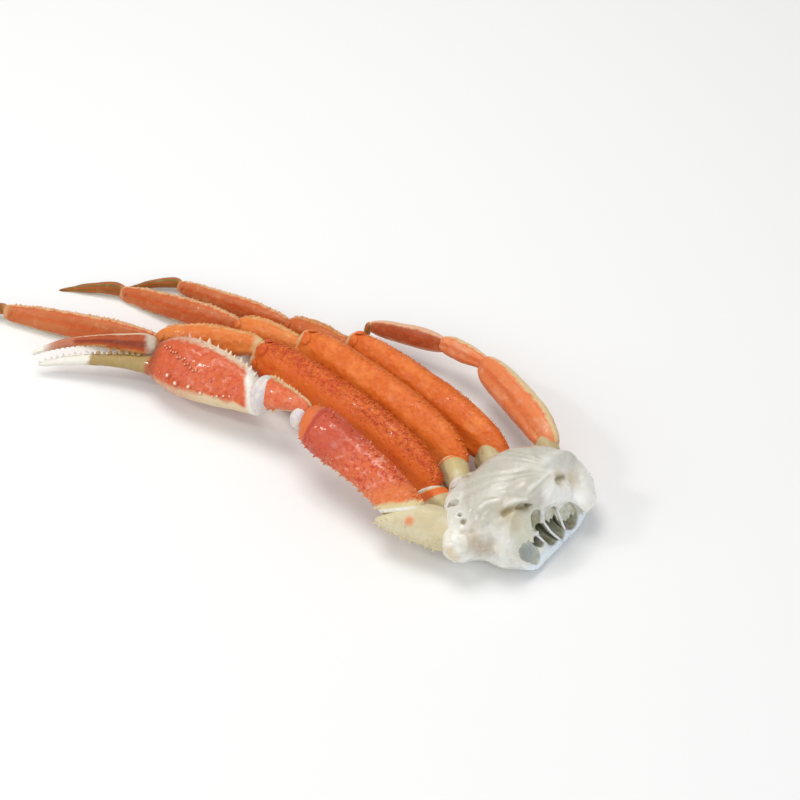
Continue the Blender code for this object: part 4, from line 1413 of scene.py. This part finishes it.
MEAT_CREASE = ((74.0, -65.0, 18.9), (76.5, -65.6, 19.6), (79.1, -66.1, 19.8))
MEMBRANE = ((89.5, -63.0, 22.5), (94, -62.0, 20.0), (97.5, -60.0, 17.5))
MEMBRANE_LOW = ((92, -66.5, 16.0), (96.0, -64.0, 14.0), (98.5, -61.0, 13.5))
MEAT = ((80, -66, 15), (74, -66, 14), (87, -68, 11), (82, -62, 18), (90, -70, 8))
RELIEF = [(path, 0.8, 0.12) for path in FAN_RIDGES] + [  # path, width and height in mm
    (FACET, 1.2, 0.5),
    (BRIGHT_FOLD, 0.8, 0.5),
    (SECOND_FOLD, 0.8, 0.45),
    (CREVICE, 0.9, -2.0),
    (PANEL_EDGE, 0.8, 0.6),
    (PANEL_SIDE, 0.8, 0.6),
    (BULGE, 4.5, 1.8),
    (PORE_HOLLOW, 3.4, -1.6),
    (LEFT_RIDGE, 0.7, 0.25),
    (MEAT_CREASE, 0.6, -0.7),
    (MEMBRANE, 2.4, -0.7),
]
MEAT_REACH = 9.0
LUMPS_SIZE, FIBRES_SIZE = 3.2, 1.4
print("paths:", len(RELIEF))

# %% Press and raise them, and make the meat lumpy
points = vertex_places(body).astype(float)
normals = vertex_normals(body)
push = np.zeros(len(points))
for path, width, height in RELIEF:
    push += height * along_path(path, points, width)
meat = near_points(MEAT, points, MEAT_REACH)
lumpy = np.array([
    noise.noise(Vector(p) / LUMPS_SIZE) + 0.5 * noise.noise(Vector(p) / FIBRES_SIZE) for p in points
])
push += (0.08 + 1.1 * meat) * lumpy
points += normals * push[:, None]
points[:, 2] = np.maximum(points[:, 2], PEBBLE_GAP)
body.data.vertices.foreach_set("co", points.astype(np.float32).ravel())
print("pushed by", round(push.min(), 2), "to", round(push.max(), 2), "mm")

# %% [markdown]
# ## Cells, pore and pockets
# The cells are smooth hollows, so each is cut out with a stretched sphere. Small boxes with rounded
# edges cut the pockets between the walls at the legs' roots. A light remesh then softens the
# sharp edges that the cuts leave.

# %% Cut the cells, the pore and the pockets
CELLS = (  # along the face, up it, half width, half height, depth, degrees its top leans left
    (13.9, 8.2, 3.9, 7.8, 7.0, 9),
    (20.6, 6.2, 4.3, 6.0, 6.5, 14),
    (9.4, 6.8, 2.9, 6.0, 6.5, 24),
    (6.8, 15.4, 2.4, 4.6, 1.7, -16),
    (4.6, 7.4, 1.6, 3.3, 4.5, 26),
    (-1.4, 7.4, 3.0, 5.2, 1.5, 30),
    (0.5, 5.6, 2.9, 5.4, 1.4, 12),
    (-2.9, 9.6, 1.6, 2.6, 1.2, 55),
    (5.0, 12.9, 0.6, 1.4, 3.5, -10),
    (0.3, 10.8, 0.7, 0.5, 3.0, 0),
    (5.6, 22.2, 0.9, 0.6, 4.0, 20),
)
CELL_MIDDLE = -0.6  # out of the sawn face, so a cell's middle lies a little behind it
POCKETS = (  # place in mm and the half sizes of a small box
    (77.0, -42.2, 22.2, 1.5, 1.2, 2.6),
    (72.2, -46.4, 20.4, 1.4, 1.0, 2.6),
    (72.2, -54.2, 19.8, 1.8, 1.0, 2.0),
    (74.4, -59.4, 21.0, 0.7, 0.6, 2.5),
    (75.6, -61.7, 21.0, 0.8, 0.6, 1.6),
)
POCKET_TURN = Matrix.Rotation(math.radians(-25), 4, "Z") @ Matrix.Rotation(math.radians(-20), 4, "X")
PORE_RUN = Vector((0.6, 0.64, -0.47)).to_track_quat("X", "Z").to_matrix().to_4x4()
PORE_PLACE = Matrix.Translation((107.7, -48.2, 26.2)) @ PORE_RUN
PORE_SIZE = (3.4, 1.3, 4.6)


def box_cutter(x, y, z, wide, deep, high):
    """A box with rounded edges, turned as the pockets between the legs' walls are."""
    deselect_all()
    bpy.ops.mesh.primitive_cube_add(size=2.0)
    box = bpy.context.object
    bpy.ops.object.mode_set(mode="EDIT")
    bpy.ops.mesh.select_all(action="SELECT")
    bpy.ops.mesh.bevel(offset=0.35, segments=3)
    bpy.ops.object.mode_set(mode="OBJECT")
    size = Matrix.Diagonal((wide, deep, high, 1))
    apply_transform(box, Matrix.Translation((x, y, z)) @ POCKET_TURN @ size)
    return box


def cut_out(obj, cutters):
    """Cuts one object after another from a piece, as a Boolean modifier does."""
    for cutter in cutters:
        apply_modifier(obj, "BOOLEAN", operation="DIFFERENCE", solver="MANIFOLD", object=cutter)
        bpy.data.objects.remove(cutter)


cutters = [
    ellipsoid("cell", cut_place(across, rise, CELL_MIDDLE, lean), (wide, high, depth))
    for across, rise, wide, high, depth, lean in CELLS
]
cutters.append(ellipsoid("pore", PORE_PLACE, PORE_SIZE, 16))
cutters += [box_cutter(*pocket) for pocket in POCKETS]
cut_out(body, cutters)
melt(body, voxel=0.36, smooth=4)
keep_above(body, BODY_GAP)
print("body faces:", len(body.data.polygons))

# %% [markdown]
# ## Thin walls and torn skins
# Thin walls part the cells, and a mottled skin hangs in two of them, torn along its lower edge. A
# grid suits both: its points are moved to a curved surface, those past the tear are deleted, and
# Solidify gives the sheet its thickness.

# %% Hang the thin walls between the cells
SEPTA = (  # points of a wall's front edge, along and up the sawn face, and its depth
    (((16.5, 13.8), (16.9, 9.3), (17.1, 4.9), (17.8, 0.1), (18.2, -1.6)), 6.0),
    (((9.3, 17.0), (9.6, 11.5), (11.1, 6.5), (13.4, 1.7), (14.6, -0.8)), 6.0),
    (((3.2, 13.4), (3.8, 12.2), (5.8, 8.1), (7.6, 3.7), (8.4, 1.8)), 5.0),
)
TORN_SKINS = (  # middle along and up the face, half width, top and its lowest edge left and right, depth
    (14.0, 11.0, 4.2, 15.6, 9.4, 8.2, 0.9),
    (20.6, 8.0, 4.4, 12.6, 6.4, 1.8, 0.9),
)
SEPTUM_THICKNESS, SKIN_THICKNESS = 0.85, 0.35


def sheet(name, across_cuts, down_cuts, place_of, thickness, keep=None):
    """A thin wall: a grid whose points are moved to a surface, torn where it isn't kept."""
    deselect_all()
    bpy.ops.mesh.primitive_grid_add(x_subdivisions=across_cuts, y_subdivisions=down_cuts, size=2.0)
    wall = bpy.context.object
    wall.name = name
    if keep:
        bpy.ops.object.mode_set(mode="EDIT")
        select_verts(wall, lambda co: not keep((co.x + 1) / 2, (co.y + 1) / 2))
        bpy.ops.mesh.delete(type="VERT")
        bpy.ops.object.mode_set(mode="OBJECT")
    for vert in wall.data.vertices:
        vert.co = place_of((vert.co.x + 1) / 2, (vert.co.y + 1) / 2)
    keep_above(wall, WALL_GAP)
    apply_modifier(wall, "SOLIDIFY", thickness=thickness, offset=0.0)
    apply_modifier(wall, "SUBSURF", levels=1, render_levels=1)
    return wall


def septum(number, front, depth):
    """A wall whose front edge runs through points of the face and sags inwards between them."""

    def place(share, inward):
        """A point at a share of the way down the front edge and a share of the depth inwards."""
        spot = share * (len(front) - 1)
        i = min(int(spot), len(front) - 2)
        step = spot - i
        across = front[i][0] * (1 - step) + front[i + 1][0] * step
        rise = front[i][1] * (1 - step) + front[i + 1][1] * step
        sag = 0.5 * math.sin(math.pi * share)
        wave = 0.35 * math.sin(5 * inward + 4 * share + number)
        lean = (0.5 * depth + wave) * inward
        return cut_place(across + lean, rise - 0.4 * depth * inward, 0.1 - sag - depth * inward).translation

    return sheet(f"septum_{number}", 16, 8, place, SEPTUM_THICKNESS)


def torn_skin(number, across, rise, wide, top, low_left, low_right, depth):
    """A mottled skin that hangs in a cell and is torn along its lower edge."""

    def place(share, down):
        """A point at a share of the way across the skin and down it."""
        low = low_left + (low_right - low_left) * share
        height = top - (top - low) * 1.3 * down
        fold = 0.25 * noise.noise(Vector((share * 6, down * 6, number)))
        proud = fold - depth - 0.5 * math.sin(math.pi * share) - 0.9 * down
        return cut_place(across + (2 * share - 1) * wide - 0.2 * (height - rise), height, proud).translation

    def kept(share, down):
        """Whether the skin is still whole there."""
        return down < 0.76 + 0.26 * noise.noise(Vector((share * 6.0, 3.1 * number, 0.5)))

    return sheet(f"torn_skin_{number}", 40, 30, place, SKIN_THICKNESS, kept)


walls = [septum(i, *given) for i, given in enumerate(SEPTA)]
skins = [torn_skin(i, *given) for i, given in enumerate(TORN_SKINS)]
print("walls:", len(walls), "torn skins:", len(skins))

# %% [markdown]
# ## Tints of the flesh, and its painted light and shade
# Real flesh isn't one white: it is yellow at the legs' roots and greenish behind a membrane. Painted
# shade makes it nearly black deep in the cells and the pore slit and dark in the creases and pockets,
# and painted highlights run along the folds. All of these sit in places that no noise pattern knows,
# so every vertex stores how strongly each covers it, and the material reads those numbers.

# %% Say where the flesh is tinted
YELLOW_SPOTS = ((108.0, -48.0, 26.0), (112.0, -44.0, 20.0))
YELLOW_FOLD = ((87.5, -59.5, 25.0), (92.0, -62.5, 21.0), (92.2, -65.7, 18.8))
YELLOW_CORNER = ((70.8, -69.3, 13.8), (71.4, -70.5, 12.1))
LEG_ROOTS = [limb[0].start - ORIGIN for limb in LIMBS]
PINK_MEAT = ((79.2, -66.5, 16.5), (82.5, -67.5, 14))
CLEAR_SPOT = ((96.9, -65.5, 7.5),)


def on_face(points):
    """Along, up and out of the sawn face, in mm."""
    axes = np.array([list(a) for a in cut_axes()])
    return (points - np.array(CUT_FOOT)) @ axes.T


def strongest(*masks):
    """The greatest of some masks at each point."""
    return np.maximum.reduce(masks)


def share_in_cells(points, behind):
    """1 in a cell, fading at the cell's own wall and at the sawn face."""
    inside = np.zeros(len(points))
    for across, rise, wide, high, depth, lean in CELLS:
        turn = np.array(cut_place(across, rise, CELL_MIDDLE, lean).inverted())
        local = points @ turn[:3, :3].T + turn[:3, 3]
        shell = np.linalg.norm(local / np.array((wide, high, depth)), axis=1)
        inside = np.maximum(inside, np.clip((1.16 - shell) / 0.08, 0, 1))
    return inside * np.clip((behind - 0.5) / 0.5, 0, 1)


# %% Note the tints, painted shade and painted highlights on the body half, its walls and its skins
def note_fan(obj, points):
    """The fan of creases on the top, which fades down the flanks and towards its foot."""
    around = np.arctan2(points[:, 1] - FAN_FOOT.y, points[:, 0] - FAN_FOOT.x)
    far = np.hypot(points[:, 0] - FAN_FOOT.x, points[:, 1] - FAN_FOOT.y)
    streak = 0.5 + 0.5 * np.sin(around * 34 + 2.2 * np.sin(around * 11 + 0.07 * far))
    fan = np.clip((points[:, 2] - 19) / 4, 0, 1) * np.clip((far - 5) / 8, 0, 1)
    set_attribute(obj, "streak", streak * fan)
    set_attribute(obj, "fan", fan)


def note_cells(obj, points, behind, up, wall):
    """The cells, the painted shade deep in them and in the pore slit, and the pale rim under them."""
    in_cell = share_in_cells(points, behind)
    # painted shade, darker further behind the sawn face and higher up in the cell
    inside = np.clip((behind - 0.9) / 3.0, 0, 1) * (0.3 + 0.7 * np.clip((up - 1.0) / 6.0, 0, 1))
    # painted shade in the pore slit
    pore = 0.5 * along_path(PORE_SLIT, points, 0.7)
    set_attribute(obj, "deep", np.maximum(in_cell * inside * (1 - wall), pore))
    set_attribute(obj, "cell", in_cell * (1 - 0.5 * wall))
    set_attribute(obj, "rim", (behind < 3.5) * np.clip((4.5 - up) / 3, 0, 1) * (1 - in_cell))


def note_tints(obj, points, behind, wall):
    """Painted shade in creases and pockets, tinted membranes and meat, painted highlights on folds."""
    # painted shade in the crevice, the meat's crease, below the pockets and in the pore slit
    crease = along_path(CREVICE, points, 1.6) + 0.35 * along_path(MEAT_CREASE, points, 0.9)
    crease += near_points([(x, y, z - high) for x, y, z, wide, deep, high in POCKETS], points, 2.2)
    crease += along_path(PORE_SLIT, points, 1.2)
    green = strongest(along_path(MEMBRANE, points, 4.5), along_path(MEMBRANE_LOW, points, 4.5))
    yellow = strongest(
        near_points(YELLOW_SPOTS, points, 5.0),
        0.5 * along_path(YELLOW_FOLD, points, 2.2),
        0.9 * near_points(YELLOW_CORNER, points, 3.5),
        0.7 * near_points(LEG_ROOTS, points, 8.5),
    )
    # painted highlights along the folds and the panel edge; the bulge and the thin walls are whiter flesh
    fold_highlights = [0.45 * along_path(path, points, 0.6) for path in (BRIGHT_FOLD, SECOND_FOLD, PANEL_EDGE)]
    bright = strongest(0.8 * along_path(BULGE, points, 5), *fold_highlights)
    set_attribute(obj, "crease", np.clip(crease, 0, 1))
    set_attribute(obj, "green", green)
    set_attribute(obj, "yellow", yellow)
    set_attribute(obj, "pink", near_points(PINK_MEAT, points, 6.0))
    set_attribute(obj, "clear", near_points(CLEAR_SPOT, points, 8.5) * (behind > 1.0))
    set_attribute(obj, "bright", np.maximum(bright, wall == 1.0))


def note_body(obj, wall=0.0):
    """Stores all masks of the flesh. wall is 0 on the body, 1 on a thin wall, between on a skin."""
    points = vertex_places(obj).astype(float)
    face = on_face(points)
    up, behind = face[:, 1], -face[:, 2]
    note_fan(obj, points)
    note_cells(obj, points, behind, up, wall)
    note_tints(obj, points, behind, wall)


note_body(body)
for wall in walls:
    note_body(wall, 1.0)
for skin in skins:
    note_body(skin, 0.7)
join(body, walls + skins)

# %% Finish the body half
apply_transform(body, Matrix.Scale(MM, 4))
body.data.materials.clear()
body.data.materials.append(FLESH)
body.data.shade_smooth()
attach(body, "root")
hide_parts("shoulder")
print("body half faces:", len(body.data.polygons))

for template in (SPINE, GRANULE, TOOTH, KNOB):
    bpy.data.objects.remove(template)
